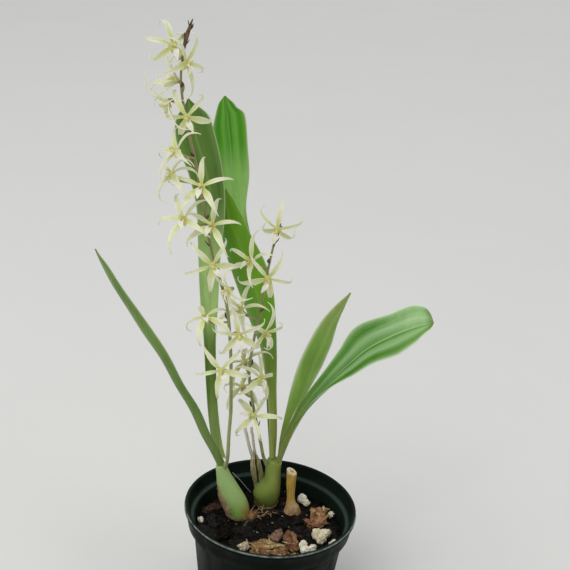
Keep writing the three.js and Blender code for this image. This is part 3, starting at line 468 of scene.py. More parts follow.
def new_piece(name, mesh):
    """New piece with a mesh, in the scene."""
    piece = bpy.data.objects.new(name, mesh)
    bpy.context.scene.collection.objects.link(piece)
    return piece


def copy_of_node(node):
    """New piece with a merged copy of a frame node's mesh."""
    piece = new_piece(node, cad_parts[node].data.copy())
    piece.data.materials.clear()
    with edit_mode(piece):
        bpy.ops.mesh.remove_doubles(threshold=0.000002)
    if piece.data.has_custom_normals:
        bpy.ops.mesh.customdata_custom_splitnormals_clear()
    return piece


def tube(stations, sides=12):
    """Round tube through (place, radius) stations in millimetres, drawn as a bevelled curve."""
    bpy.ops.curve.primitive_nurbs_path_add()
    path = bpy.context.object
    path.data.splines.clear()
    line = path.data.splines.new("POLY")
    line.points.add(len(stations) - 1)
    for point, (place, radius) in zip(line.points, stations):
        point.co = (*(place * MM), 1)
        point.radius = radius * MM
    path.data.bevel_depth = 1
    path.data.bevel_resolution = sides // 4 - 1
    path.data.use_fill_caps = True
    bpy.ops.object.convert(target="MESH")
    face_outwards(path)
    return path


def stem_stations(points, steps, grow=0):
    """Stations along listed points [x, y, z, radius]."""
    line = SmoothLine(points)
    radii = [point[3] for point in points]
    return [(line.at(i / steps), smooth_between(radii, i / steps) + grow) for i in range(steps + 1)]


def join(*pieces):
    """Joins pieces into the first one."""
    pick(*pieces)
    bpy.ops.object.join()
    return pieces[0]


def blade_blank(columns, rows):
    """Flat blank of a blade: 2 wide, 2 long and 2 thick, on a grid with its own UV map."""
    bpy.ops.mesh.primitive_grid_add(x_subdivisions=columns, y_subdivisions=rows, size=2)
    blank = bpy.context.object
    apply_modifier(blank, "SOLIDIFY", thickness=2, offset=0)
    mesh = blank.data
    bpy.data.objects.remove(blank)
    return mesh


def shaped_blade(blank, shape):
    """Copy of a blank whose points go where shape(across, along, through) says, in millimetres."""
    mesh = blank.copy()
    for point in mesh.vertices:
        across, along, through = point.co
        point.co = shape(across, (along + 1) / 2, through) * MM
    piece = new_piece("blade", mesh)
    face_outwards(piece)
    return piece


def push_out(piece, height):
    """Moves points along their normals by height(place), in millimetres."""
    points = piece.data.vertices
    for point, normal in zip(points, [point.normal.copy() for point in points]):
        point.co += normal * height(point.co / MM) * MM


def roughen(piece, size, height, grain=(0, 0, 0), draw_out=1):
    """Roughens a piece by noise of a size, drawn out along a grain; in millimetres."""
    grain = Vector(grain)

    def rough(place):
        place = place / size
        place -= grain * place.dot(grain) * (1 - 1 / draw_out)
        return noise.fractal(place, 1, 2, 4) * height

    push_out(piece, rough)


def pop_cells(piece, size, height):
    """Raises round cells of a size all over a piece; in millimetres."""
    push_out(piece, lambda place: (0.45 - noise.voronoi(place / size)[0][0]) * height)


def long_way(piece):
    """Direction between the two points of a piece that lie farthest apart."""
    pairs = itertools.combinations([point.co for point in piece.data.vertices], 2)
    first, last = max(pairs, key=lambda pair: (pair[0] - pair[1]).length)
    return (last - first).normalized()


# Nodes of materials

class Nodes:
    """Shader nodes in one tree, each fed with values, colour codes or what other nodes give."""

    def __init__(self, tree):
        self.tree = tree

    def feed(self, node, key, value):
        """Sets an input of a node, or links a socket to it."""
        if isinstance(value, bpy.types.NodeSocket):
            self.tree.links.new(value, node.inputs[key])
        else:
            node.inputs[key].default_value = rgba(value) if isinstance(value, (str, Color)) else value

    def add(self, kind, inputs, **settings):
        """Outputs of a new node with its settings and inputs."""
        node = self.tree.nodes.new("ShaderNode" + kind)
        for key, value in settings.items():
            setattr(node, key, value)
        for key, value in inputs.items():
            self.feed(node, key, value)
        return node.outputs

    def math(self, operation, *values):
        """Result of a calculation on one or two values."""
        return self.add("Math", dict(enumerate(values)), operation=operation)[0]

    def times(self, first, second):
        """Product of two values."""
        return self.math("MULTIPLY", first, second)

    def minus(self, first, second):
        """Difference of two values."""
        return self.math("SUBTRACT", first, second)

    def plus(self, first, second):
        """Sum of two values."""
        return self.math("ADD", first, second)

    def ramp(self, value, low, high, start=0, end=1):
        """Value mapped smoothly from one range to another."""
        span = {"Value": value, "From Min": low, "From Max": high, "To Min": start, "To Max": end}
        return self.add("MapRange", span, interpolation_type="SMOOTHSTEP")["Result"]

    def mix(self, share, first, second, blend="MIX"):
        """Colour mixed from two by a share."""
        parts = {"Factor": share, 6: first, 7: second}
        return self.add("Mix", parts, data_type="RGBA", blend_type=blend)[2]

    def noise(self, place, scale, detail=2, roughness=0.5):
        """Soft noise round a half."""
        look = {"Vector": place, "Scale": scale, "Detail": detail, "Roughness": roughness}
        return self.add("TexNoise", look)["Fac"]

    def group(self, name, **values):
        """Outputs of a shared node group that is fed with values."""
        tree = bpy.data.node_groups.get(name) or GROUP_MAKERS[name]()
        return self.add("Group", values, node_tree=tree)


class Group(Nodes):
    """Node group in the making: its inputs with their usual values, then what it gives."""

    def __init__(self, name, **inputs):
        super().__init__(bpy.data.node_groups.new(name, "ShaderNodeTree"))
        for key, value in inputs.items():
            kind = {3: "Vector", 4: "Color"}[len(value)] if isinstance(value, tuple) else "Float"
            self.new_socket(key, "INPUT", kind).default_value = value
        self.given = self.tree.nodes.new("NodeGroupInput").outputs
        self.place = self.add("TexCoord", {})["Object"]

    def new_socket(self, name, side, kind):
        """Socket on the outside of the group."""
        return self.tree.interface.new_socket(name=name, in_out=side, socket_type="NodeSocket" + kind)

    def axes(self, place):
        """The three parts of a place."""
        return self.add("SeparateXYZ", {0: place}).values()

    def stretched(self):
        """Place on the object, stretched."""
        return self.add("Mapping", {"Vector": self.place, "Scale": self.given["Stretch"]})[0]

    def give(self, **results):
        """Ends the group with its results."""
        for name in results:
            self.new_socket(name, "OUTPUT", "Color" if name == "Colour" else "Float")
        end = self.tree.nodes.new("NodeGroupOutput")
        for name, socket in results.items():
            self.feed(end, name, socket)
        return self.tree


def mottle_group():
    """Two colours broken up by soft blotches and fine grain."""
    group = Group(
        "Mottle", Colour=(0.5, 0.5, 0.5, 1), Blotch=(0.2, 0.2, 0.2, 1), Scale=200, Stretch=EVEN,
        Amount=0.6,
    )
    given = group.given
    mask = group.ramp(group.noise(group.stretched(), given["Scale"], 5, 0.62), 0.36, 0.66)
    colour = group.mix(group.times(mask, given["Amount"]), given["Colour"], given["Blotch"])
    return group.give(Colour=colour, Mask=mask)


def blend_group():
    """Share that grows up the object, or across it along a leaning line, with a ragged edge."""
    group = Group("Blend", Across=0, Foot=0, Up=1, Low=0, High=0.1, Ragged=0.004, Scale=150)
    given = group.given
    x, _, z = group.axes(group.place)
    side = group.times(group.minus(x, given["Foot"]), given["Across"])
    level = group.plus(side, group.times(z, given["Up"]))
    shift = group.minus(group.noise(group.place, given["Scale"]), 0.5)
    ragged = group.plus(level, group.times(shift, given["Ragged"]))
    return group.give(Share=group.ramp(ragged, given["Low"], given["High"]))


def ring_group():
    """Mask of a ring round the upright axis, between two radii and above a height."""
    group = Group("Ring", Inner=0, Outer=0.1, Low=0, High=0.1)
    given = group.given
    x, y, z = group.axes(group.place)
    away = group.math("SQRT", group.plus(group.times(x, x), group.times(y, y)))
    outside = group.ramp(away, given["Inner"], given["Outer"])
    return group.give(Mask=group.times(outside, group.ramp(z, given["Low"], given["High"])))


def blade_group():
    """Marks along a blade from its own UV map: margin, midrib, fine veins and broad pleats."""
    group = Group("Blade Marks", Margin=0.04, Midrib=0.03, Veins=26, Pleats=3)
    given = group.given
    across, along, _ = group.axes(group.add("TexCoord", {})["UV"])
    off_middle = group.math("ABSOLUTE", group.minus(across, 0.5))
    drawn_out = group.add("CombineXYZ", {"X": across, "Y": group.times(along, 0.02)})[0]
    wave = group.times(group.times(across, given["Pleats"]), 2 * math.pi)
    return group.give(
        Margin=group.ramp(off_middle, group.minus(0.5, given["Margin"]), 0.5),
        Midrib=group.ramp(off_middle, given["Midrib"], 0),
        Veins=group.noise(drawn_out, given["Veins"], 3, 0.7),
        Pleats=group.ramp(group.math("COSINE", wave), -1, 1),
        Side=group.ramp(across, 0.42, 0.58),
        Along=along,
    )


def grain_group():
    """Height of fine pits and lumps, for bumps."""
    group = Group("Grain", Scale=800, Stretch=EVEN, Pits=0.5)
    given = group.given
    place = group.stretched()
    pits = group.add("TexVoronoi", {"Vector": place, "Scale": given["Scale"]})["Distance"]
    lumps = group.noise(place, given["Scale"], 6, 0.7)
    return group.give(Height=group.minus(lumps, group.times(pits, given["Pits"])))


def speck_group():
    """Mask of small scattered specks, such as crumbs and dust."""
    group = Group("Specks", Scale=300, Size=0.2, Share=0.3)
    given = group.given
    cells = group.add("TexVoronoi", {"Vector": group.place, "Scale": given["Scale"]})
    near = group.math("LESS_THAN", cells["Distance"], given["Size"])
    hue = group.add("SeparateColor", {0: cells["Color"]})[0]
    return group.give(Mask=group.times(near, group.math("LESS_THAN", hue, given["Share"])))


GROUP_MAKERS = {
    "Mottle": mottle_group,
    "Blend": blend_group,
    "Ring": ring_group,
    "Blade Marks": blade_group,
    "Grain": grain_group,
    "Specks": speck_group,
}


class Finish(Nodes):
    """Material whose colour is laid on in layers, with its own roughness and bumps."""

    def __init__(self, name, roughness, **look):
        self.material = bpy.data.materials.new(name)
        self.material.use_nodes = True
        super().__init__(self.material.node_tree)
        self.shader = self.tree.nodes["Principled BSDF"]
        for key, value in {"Roughness": roughness, **look}.items():
            self.feed(self.shader, key.replace("_", " "), value)
        self.shown = None

    def mottle(self, colour, blotch, scale, amount, stretch=EVEN):
        """Starts with two colours that break each other up; gives the mask of the second."""
        made = self.group(
            "Mottle", Colour=colour, Blotch=blotch, Scale=scale, Amount=amount, Stretch=stretch
        )
        self.shown = made["Colour"]
        return made["Mask"]

    def blotches(self, scale, stretch=EVEN):
        """Mask of soft blotches."""
        return self.group("Mottle", Scale=scale, Stretch=stretch)["Mask"]

    def specks(self, scale, size, share):
        """Mask of small specks."""
        return self.group("Specks", Scale=scale, Size=size, Share=share)["Mask"]

    def above(self, low, high, ragged, scale=150, **line):
        """Share that grows between two heights, or places on another line; in millimetres."""
        return self.group(
            "Blend", Low=low * MM, High=high * MM, Ragged=ragged * MM, Scale=scale, **line
        )["Share"]

    def beside(self, low, high, ragged, scale=150, foot=0, lean=0):
        """Share that grows from left to right of a leaning line; in millimetres."""
        return self.above(low, high, ragged, scale, Across=1, Foot=foot * MM, Up=lean)

    def ring(self, inner, outer, low, high):
        """Mask outside a radius and above a height, in millimetres."""
        return self.group("Ring", Inner=inner * MM, Outer=outer * MM, Low=low * MM, High=high * MM)["Mask"]

    def cover(self, mask, colour, amount=1):
        """Lays a colour over what is shown, where a mask says and as much as the amount."""
        self.shown = self.mix(self.times(mask, amount), self.shown, colour)

    def roughness(self, mask, low, high):
        """Roughness that follows a mask."""
        self.feed(self.shader, "Roughness", self.ramp(mask, 0, 1, low, high))

    def bump(self, height, strength, depth):
        """Raised surface; depth in millimetres."""
        raised = {"Height": height, "Strength": strength, "Distance": depth * MM}
        self.feed(self.shader, "Normal", self.add("Bump", raised)["Normal"])

    def grain(self, scale, pits, strength, depth, stretch=EVEN):
        """Raised grain with pits; depth in millimetres."""
        self.bump(self.group("Grain", Scale=scale, Pits=pits, Stretch=stretch)["Height"], strength, depth)

    def done(self):
        """Material with the colours laid on so far."""
        self.feed(self.shader, "Base Color", self.shown)
        return self.material


def pot_finish(name, colour, dark):
    """Dark green moulded plastic: a painted highlight line on the rim, a paler inner ledge as painted
    highlight, dust and flow lines.
    """
    finish = Finish(name, 0.5, Specular_IOR_Level=0.04)
    body = finish.mottle(colour, dark, 60, 0.55, (1, 1, 0.25))
    # Paler band on the upward-facing inner ledge: painted highlight.
    painted_ledge_highlight = finish.minus(finish.ring(57.2, 58, 88.4, 89.2), finish.ring(59.8, 60.4, 88.4, 89.2))
    finish.cover(painted_ledge_highlight, "#4d5c54", 0.5)
    # Thin pale line round the rim, broken in places: painted highlight of the rim's lip.
    breaks = finish.minus(1, finish.times(finish.blotches(150), 0.75))
    finish.cover(finish.times(finish.ring(64, 64.7, 98.4, 99.4), breaks), "#8f9c92", 0.85)
    finish.cover(finish.specks(700, size=0.16, share=0.22), "#4c4b40", 0.3)
    finish.roughness(body, 0.42, 0.6)
    finish.grain(900, pits=0.25, strength=0.18, depth=0.25, stretch=(1, 1, 0.2))
    return finish.done()


def mix_finish():
    """Damp dark bark crumb: near black, with brown and pale specks."""
    finish = Finish("potting_mix", 0.75, Specular_IOR_Level=0.1)
    base = finish.mottle("#080706", "#17110c", 260, 0.8)
    finish.cover(finish.specks(420, size=0.34, share=0.2), "#35241a", 0.5)
    finish.cover(finish.specks(620, size=0.22, share=0.05), "#6f6656")
    finish.roughness(base, 0.42, 0.85)
    finish.grain(520, pits=0.8, strength=0.8, depth=0.8)
    return finish.done()


def crumb_finish(name, colour, dark, roughness):
    """Small loose crumb of one colour."""
    finish = Finish(name, roughness, Specular_IOR_Level=0.12)
    finish.mottle(colour, dark, 330, 0.85)
    finish.grain(1100, pits=0.6, strength=0.6, depth=0.3)
    return finish.done()


def bark_finish(name, colour, dark, scuffed_share):
    """Bark chip with layered growth lines, dark cracks and pale scuffs."""
    finish = Finish(name, 0.78, Specular_IOR_Level=0.3)
    layers = finish.mottle(colour, dark, 120, 0.85, (1, 0.6, 4))
    finish.cover(finish.blotches(330, (1, 0.35, 1)), "#cfae86", scuffed_share)
    finish.cover(finish.specks(560, size=0.3, share=0.16), "#e2c9a4", scuffed_share)
    finish.cover(finish.blotches(620, (1, 0.4, 2)), "#1c110c", 0.6)
    finish.roughness(layers, 0.62, 0.9)
    finish.grain(620, pits=0.6, strength=0.9, depth=0.9, stretch=(1, 0.4, 2))
    return finish.done()


def perlite_finish(name, colour, stain):
    """White expanded glass: fine pores, faint cream and grey stains."""
    finish = Finish(name, 0.85, Subsurface_Weight=0.06)
    finish.mottle(colour, stain, 210, 0.75)
    finish.cover(finish.specks(800, size=0.2, share=0.12), "#6e5c42", 0.6)
    finish.grain(900, pits=1, strength=0.7, depth=0.4)
    return finish.done()


def charcoal_finish():
    """Dark grey charcoal lump with a dull sheen on its flats."""
    finish = Finish("charcoal", 0.55, Specular_IOR_Level=0.25)
    finish.roughness(finish.mottle("#0c0d0c", "#1e1f1c", 240, 0.6), 0.38, 0.7)
    finish.grain(380, pits=0.5, strength=0.6, depth=0.6)
    return finish.done()


def bulb_finish(name, low, high, line_colour, foot, levels, foot_levels, edges=()):
    """Waxy pseudobulb: two greens one above the other, lengthwise lines, dry foot and brown edges."""
    finish = Finish(
        name, 0.42, Subsurface_Weight=0.08, Subsurface_Radius=(0.002, 0.003, 0.001), Coat_Weight=0.05,
        Specular_IOR_Level=0.3,
    )
    finish.shown = finish.mix(finish.above(*levels, ragged=6, scale=90), low, high)
    lines = finish.blotches(620, (1, 1, 0.07))
    finish.cover(lines, line_colour, 0.3)
    finish.cover(finish.specks(420, size=0.16, share=0.12), "#6e6a34", 0.35)
    for colour, sides, heights in edges:
        side = finish.beside(*sides, foot=9.3, lean=0.4, ragged=4, scale=300)
        level = finish.above(*heights, ragged=6, scale=200)
        finish.cover(finish.times(side, level), colour, 0.85)
    finish.cover(finish.above(*foot_levels, ragged=7, scale=260), foot)
    finish.roughness(lines, 0.34, 0.5)
    finish.bump(lines, strength=0.25, depth=0.3)
    return finish.done()


def dry_finish(name, colour, dark, pale, roughness=0.8):
    """Dry papery or woody tissue with lengthwise fibres."""
    finish = Finish(name, roughness)
    fibres = finish.mottle(colour, dark, 520, 0.8, (1, 1, 0.1))
    finish.cover(finish.blotches(140), pale, 0.5)
    finish.roughness(fibres, roughness - 0.12, roughness + 0.1)
    finish.grain(900, pits=0.4, strength=0.6, depth=0.5, stretch=(1, 1, 0.12))
    return finish.done()


def rhizome_finish():
    """Creeping stem: orange-tan and fibrous by the left bulb, dark and damp farther right."""
    finish = Finish("rhizome", 0.75, Specular_IOR_Level=0.3)
    finish.mottle("#a87a4c", "#553620", 420, 0.85, (0.4, 1, 1))
    finish.cover(finish.specks(700, size=0.3, share=0.25), "#d8bb8e", 0.7)
    finish.cover(finish.beside(-16, -7, ragged=8, scale=260), "#1d1510")
    finish.grain(800, pits=0.5, strength=0.8, depth=0.5)
    return finish.done()


def dry_shoot_finish():
    """Dried shoot: olive-tan fibrous sheath that turns whitish towards the tips of its stubs."""
    finish = Finish("dry_shoot", 0.75, Specular_IOR_Level=0.3)
    fibres = finish.mottle("#b9ab72", "#5e5230", 520, 0.85, (1, 1, 0.1))
    finish.cover(finish.blotches(700, (1, 1, 0.06)), "#ddd2ac", 0.6)
    finish.cover(finish.above(114, 128, ragged=8, scale=300), "#efe7d8", 0.92)
    left, right = [
        finish.beside(low, low + 0.5, foot=4.2, lean=0.167, ragged=1.6) for low in (0, 1.3)
    ]
    split = finish.times(finish.minus(left, right), finish.above(124, 116, ragged=6))
    finish.cover(split, "#2a2216")
    finish.bump(fibres, strength=0.7, depth=0.5)
    return finish.done()


def stump_finish():
    """Amber dry stump: pale cut rim, dark streaks and a tan wrinkled foot."""
    finish = Finish("dry_stump", 0.5)
    fibres = finish.mottle("#e8c05a", "#a88438", 420, 0.7, (1, 1, 0.12))
    streaks = finish.blotches(170, (1, 1, 0.2))
    finish.cover(streaks, "#6b4a20", 0.35)
    husk = finish.mix(finish.times(streaks, 0.75), "#c8a674", "#6a4a2a")
    finish.cover(finish.above(94, 87, ragged=7, scale=200), husk)
    finish.cover(finish.above(114.5, 117.2, ragged=3, scale=300), "#ecd9ae")
    finish.roughness(fibres, 0.38, 0.65)
    finish.bump(fibres, strength=0.6, depth=0.5)
    return finish.done()


def leaf_finish(name, look):
    """Leathery leaf: halves of different green and a lower part, on some leaves painted light and shade; pale
    pleat crests as painted sheen; fine veins and a pale margin.
    """
    left, right, low, petiole, heel, rib_and_sheen, margin = look["colours"]
    gloss = look["gloss"]
    finish = Finish(
        name, gloss, Coat_Weight=0.06, Specular_IOR_Level=0.28, Subsurface_Weight=0.05,
        Subsurface_Radius=(0.001, 0.002, 0.0005),
    )
    marks = finish.group("Blade Marks", Pleats=look["pleats"], Margin=look.get("margin", 0.045), Midrib=0.035)
    along = marks["Along"]
    halves = finish.mix(marks["Side"], left, right)
    blade = finish.mix(finish.ramp(along, *reversed(look["low"])), halves, low)
    stalk = finish.mix(finish.ramp(along, 0.3, 0.04), petiole, heel)
    green = finish.mix(finish.ramp(along, *reversed(look["foot"])), blade, stalk)
    blotch = finish.blotches(45, (1, 1, 0.3))
    dark = finish.mix(1, green, "#4f6e48", "MULTIPLY")
    finish.shown = finish.mix(finish.times(blotch, 0.3), green, dark)
    on_blade = finish.ramp(along, 0.25, 0.5)
    # Pale bands along the pleat crests: painted sheen.
    finish.cover(finish.times(marks["Pleats"], on_blade), rib_and_sheen, look["crest_sheen"])
    finish.cover(finish.ramp(marks["Veins"], 0.45, 0.75), rib_and_sheen, 0.3)
    finish.cover(finish.times(marks["Midrib"], on_blade), rib_and_sheen, 0.5)
    if "end" in look:
        reach, colour = look["end"]
        end = finish.ramp(along, 1 - reach, 1)
        finish.cover(finish.times(end, finish.ramp(blotch, 0, 1, 0.45, 0.95)), colour)
    finish.cover(finish.times(marks["Margin"], on_blade), margin, 0.8)
    finish.roughness(blotch, gloss - 0.06, gloss + 0.1)
    finish.bump(marks["Veins"], strength=0.22, depth=0.35)
    return finish.done()


def stem_finish():
    """Flower stem: olive below, browner towards its top, with fine short down."""
    finish = Finish("flower_stem", 0.6, Sheen_Weight=0.3, Sheen_Roughness=0.5)
    finish.mottle("#98a35e", "#747444", 180, 0.7, (1, 1, 0.3))
    finish.cover(finish.above(230, 360, ragged=30, scale=60), "#8c8652")
    finish.grain(1500, pits=0.3, strength=0.5, depth=0.25, stretch=(1, 1, 0.4))
    return finish.done()


def bract_finish():
    """Small dry bract and bud scale, dark brown with a paler edge."""
    finish = Finish("dry_bract", 0.7)
    body = finish.mottle("#4a3524", "#84694a", 500, 0.6, (1, 1, 0.3))
    finish.bump(body, strength=0.4, depth=0.3)
    return finish.done()


def tepal_finish(settings):
    """Waxy cream sepal or petal: greenish yellow at its root, pale along the margin."""
    finish = Finish(
        "tepal", 0.45, Subsurface_Weight=0.25, Subsurface_Radius=(0.003, 0.003, 0.0015),
        Coat_Weight=0.08, Coat_Roughness=0.4,
    )
    marks = finish.group("Blade Marks", Margin=0.16, Midrib=0.14, Veins=9)
    root = finish.ramp(marks["Along"], 0.42, 0.04)
    finish.shown = finish.mix(root, settings.tepal_colour, settings.root_colour)
    finish.cover(finish.ramp(marks["Along"], 0.6, 1), "#f3f2da", 0.6)
    finish.cover(finish.ramp(marks["Veins"], 0.42, 0.7), "#b9c38a", 0.3)
    finish.cover(marks["Midrib"], "#b3bf7c", 0.22)
    finish.cover(marks["Margin"], "#f6f5e6", 0.6)
    finish.bump(marks["Veins"], strength=0.25, depth=0.2)
    return finish.done()


def centre_finish(settings):
    """Column and the cup round it: amber and yellow with small red-brown flecks."""
    finish = Finish("bloom_centre", 0.42, Subsurface_Weight=0.15)
    body = finish.mottle(settings.centre_colour, "#c8b058", 420, 0.6)
    finish.cover(finish.specks(900, size=0.28, share=0.2), "#7a4c20", 0.55)
    finish.bump(body, strength=0.3, depth=0.2)
    return finish.done()


def lip_finish():
    """White lip, yellow where it leaves the column."""
    finish = Finish("lip", 0.4, Subsurface_Weight=0.2)
    marks = finish.group("Blade Marks", Midrib=0.2, Veins=7)
    finish.shown = finish.mix(finish.ramp(marks["Along"], 0.45, 0.05), "#faf7e2", "#e0cc66")
    finish.cover(marks["Midrib"], "#e9e0a8", 0.25)
    finish.bump(marks["Veins"], strength=0.2, depth=0.2)
    return finish.done()


def stalk_finish():
    """Ovary and flower stalk: yellow green with a brown cast and fine down."""
    finish = Finish("bloom_stalk", 0.55, Sheen_Weight=0.25, Sheen_Roughness=0.5)
    finish.mottle("#a3a262", "#776638", 300, 0.7)
    finish.grain(1500, pits=0.3, strength=0.4, depth=0.2)
    return finish.done()


def floor_finish(settings):
    """Plain pale matt floor with the faintest unevenness."""
    finish = Finish("studio_floor", 0.85)
    finish.mottle(settings.floor_colour, "#e9e8e4", 6, 0.15)
    return finish.done()


# Pot and mix

def turned_body(profile, sides):
    """Turned body: a disc extruded and resized from point to point of its profile."""
    radius, height = profile[0]
    bpy.ops.mesh.primitive_circle_add(
        vertices=sides, radius=radius * MM, fill_type="NGON", location=(0, 0, height * MM)
    )
    body = bpy.context.object
    bpy.ops.object.transform_apply(location=True, rotation=True, scale=True)
    with edit_mode(body):
        for next_radius, next_height in profile[1:]:
            rise = (next_height - height) * MM
            bpy.ops.mesh.extrude_region_move(TRANSFORM_OT_translate={"value": (0, 0, rise)})
            grow = next_radius / radius
            bpy.ops.transform.resize(value=(grow, grow, 1), center_override=(0, 0, next_height * MM))
            radius, height = next_radius, next_height
    face_outwards(body)
    return body


def drill_drain_holes(pot):
    """Cuts the ring of drain holes through the pot's floor."""
    cutters = []
    ring = DRAIN_HOLES["ring"] * MM
    for i in range(DRAIN_HOLES["count"]):
        angle = (i + 0.5) / DRAIN_HOLES["count"] * 2 * math.pi
        bpy.ops.mesh.primitive_cylinder_add(
            vertices=32, radius=DRAIN_HOLES["radius"] * MM, depth=4 * POT_FLOOR * MM,
            location=(ring * math.cos(angle), ring * math.sin(angle), 0),
        )
        cutters.append(bpy.context.object)
    cut_away(pot, join(*cutters))


def mix_surface():
    """Mix from its frame node: the top cut finer and roughened, the sides left plain."""
    mix = copy_of_node("potting_mix")
    with edit_mode(mix, lambda face: face.center.z > MIX_TOP["faces"] and face.normal.z > 0.25):
        bpy.ops.mesh.subdivide(number_cuts=3)
        bpy.ops.mesh.quads_convert_to_tris()
    for point in mix.data.vertices:
        away = math.hypot(point.co.x, point.co.y)
        if point.co.z > MIX_TOP["points"] and away < MIX_TOP["radius"]:
            lumps = [noise.noise(point.co * closeness) * height for closeness, height in MIX_LUMPS]
            point.co.z += sum(lumps) * MM
    return mix


def crumb_templates(draw, flat, rounds):
    """Four angular crumbs, about 1 across, each as points and faces."""
    templates = []
    for _ in range(4):
        bpy.ops.mesh.primitive_ico_sphere_add(subdivisions=rounds, radius=0.5)
        crumb = bpy.context.object
        shift = Vector((draw(), draw(), draw())) * 50
        for point in crumb.data.vertices:
            lumpy = noise.noise(point.co * 3.2 + shift) * 0.9
            point.co *= 1 + lumpy + spread(draw, 0.28 / rounds)
            point.co.z *= flat
        points = [point.co.copy() for point in crumb.data.vertices]
        templates.append((points, [tuple(face.vertices) for face in crumb.data.polygons]))
        bpy.data.objects.remove(crumb)
    return templates


def lump_circles():
    """Circles [x, y, radius] that the white lumps cover."""
    circles = []
    for node in PERLITE_LUMPS:
        low, high = [Vector(corner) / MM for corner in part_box(node)]
        middle, half = (low + high) / 2, (high - low) / 2
        circles.append((middle.x, middle.y, 0.45 * (half.x + half.y)))
    return circles


def ground_under(x, y, grounds):
    """Highest place on the given pieces at x and y, or none."""
    start = Vector((x, y, 120)) * MM
    hits = [ground.ray_cast(start, Vector((0, 0, -1)), distance=0.06) for ground in grounds]
    places = [place for hit, place, _, _ in hits if hit and place.z > MIX_TOP["ground"]]
    return max(places, key=lambda place: place.z, default=None)


def strewn(name, grounds, draw, drops, templates, material, long=1):
    """Crumbs dropped on pieces at listed places and sizes, half sunk into them, in one mesh."""
    points, faces = [], []
    for x, y, size in drops:
        turn = Matrix.Rotation(draw() * 2 * math.pi, 4, "Z") @ Matrix.Rotation(spread(draw, 0.6), 4, "X")
        stretch = Matrix.Diagonal((long * (1 + 0.7 * draw()), 0.75, 0.8, 1))
        shape, sides = templates[int(draw() * 3.999)]
        place = ground_under(x, y, grounds)
        if place:
            move = Matrix.Translation(place) @ turn @ stretch @ Matrix.Scale(size * MM, 4)
            start = len(points)
            points += [move @ point for point in shape]
            faces += [[start + corner for corner in side] for side in sides]
    mesh = bpy.data.meshes.new(name)
    mesh.from_pydata(points, [], faces)
    finish_piece(new_piece(name, mesh), name, material, 25)


def scattered(draw, count, sizes, patch):
    """Places and sizes of crumbs scattered over a patch of the mix, clear of what stands in it."""
    low_x, high_x, low_y, high_y = patch
    circles = STANDING + lump_circles()
    drops = []
    while len(drops) < count:
        x, y = lerp(low_x, high_x, draw()), lerp(low_y, high_y, draw())
        size = lerp(*sizes, draw() ** 2)
        clear = all(math.hypot(x - cx, y - cy) > radius + size * 0.4 for cx, cy, radius in circles)
        if math.hypot(x, y) < CRUMB_REACH and clear:
            drops.append((x, y, size))
    return drops


# Loose pieces

def chip_piece(node, material):
    """Bark chip from its frame node: broken edges, torn along its grain."""
    chip = copy_of_node(node)
    grain = long_way(chip)
    apply_modifier(chip, "BEVEL", width=0.5 * MM, segments=1, limit_method="ANGLE", angle_limit=0.6)
    apply_modifier(chip, "SUBSURF", subdivision_type="SIMPLE", levels=4, render_levels=4)
    face_outwards(chip)
    roughen(chip, 6, 1.1)
    roughen(chip, 1.7, 0.75, grain, 4)
    finish_piece(chip, node, material, 40)


def slimmed(piece, share):
    """Narrows a piece across its longest way, about its own middle."""
    way = long_way(piece)
    corners = [Vector(corner) for corner in piece.bound_box]
    middle = sum(corners, Vector()) / len(corners)
    for point in piece.data.vertices:
        away = point.co - middle
        along = way * away.dot(way)
        point.co = middle + along + (away - along) * share


def lump_piece(node, material, rough, share=1):
    """Rounded lump from its frame node, popped and pitted all over."""
    lump = copy_of_node(node)
    slimmed(lump, share)
    apply_modifier(lump, "SUBSURF", levels=4, render_levels=4)
    roughen(lump, 4, rough)
    pop_cells(lump, 1.7, rough * 1.2)
    roughen(lump, 0.7, rough * 0.3)
    finish_piece(lump, node, material, 60)


# Bulbs and old growth

def rounded_end(stations, reach):
    """Stations whose radii close in a round cap over the last stretch."""
    last = stations[-1][0]
    capped = []
    for place, radius in stations:
        left = min((last - place).length / reach, 1)
        capped.append((place, radius * max(math.sqrt(left * (2 - left)), 0.05)))
    return capped


def pinch_neck(bulb, points, share):
    """Narrows a bulb from side to side towards its top, to the width of the leaf bases on it."""
    low, high = points[-3], points[-1]
    for point in bulb.data.vertices:
        part = (point.co.z / MM - low[2]) / (high[2] - low[2])
        if part > 0:
            middle = lerp(low[0], high[0], part) * MM
            point.co.x = middle + (point.co.x - middle) * lerp(1, share, min(part, 1))


def pinch_shoulder(bulb, side, low, high, share):
    """Draws a bulb's left shoulder in towards a line on its right, between two heights."""
    for point in bulb.data.vertices:
        part = (point.co.z / MM - low) / (high - low)
        if 0 < part < 1:
            squeeze = 1 - (1 - share) * math.sin(math.pi * part) ** 1.5
            point.co.x = side * MM + (point.co.x - side * MM) * squeeze


def smooth_bulb(node, points, material, neck_share, shoulder):
    """Swollen stem as a fine tube with a round cap and a narrower neck."""
    bulb = tube(rounded_end(stem_stations(points, 90), 2.5), sides=48)
    pinch_neck(bulb, points, neck_share)
    if shoulder:
        pinch_shoulder(bulb, *shoulder)
    finish_piece(bulb, node, material)


def papery_sheath(points, name, keep, material, gap=0.25):
    """Torn scraps of dry sheath that hug a bulb where keep(place, axis place, raggedness) is true."""
    shell = tube(stem_stations(points, 60, gap), sides=64)
    line = SmoothLine(points)
    low, high = points[0][2], points[-1][2]

    def is_torn_off(face):
        place = face.center / MM
        centre = line.at((place.z - low) / (high - low))
        ragged = noise.noise(place * 0.45) * 3 + noise.noise(place * 1.4) * 1.2
        return len(face.vertices) > 4 or not keep(place, centre, ragged)

    with edit_mode(shell, is_torn_off):
        bpy.ops.mesh.delete(type="FACE")
    roughen(shell, 3, 0.3)
    apply_modifier(shell, "SOLIDIFY", thickness=0.25 * MM, offset=1)
    finish_piece(shell, name, material)


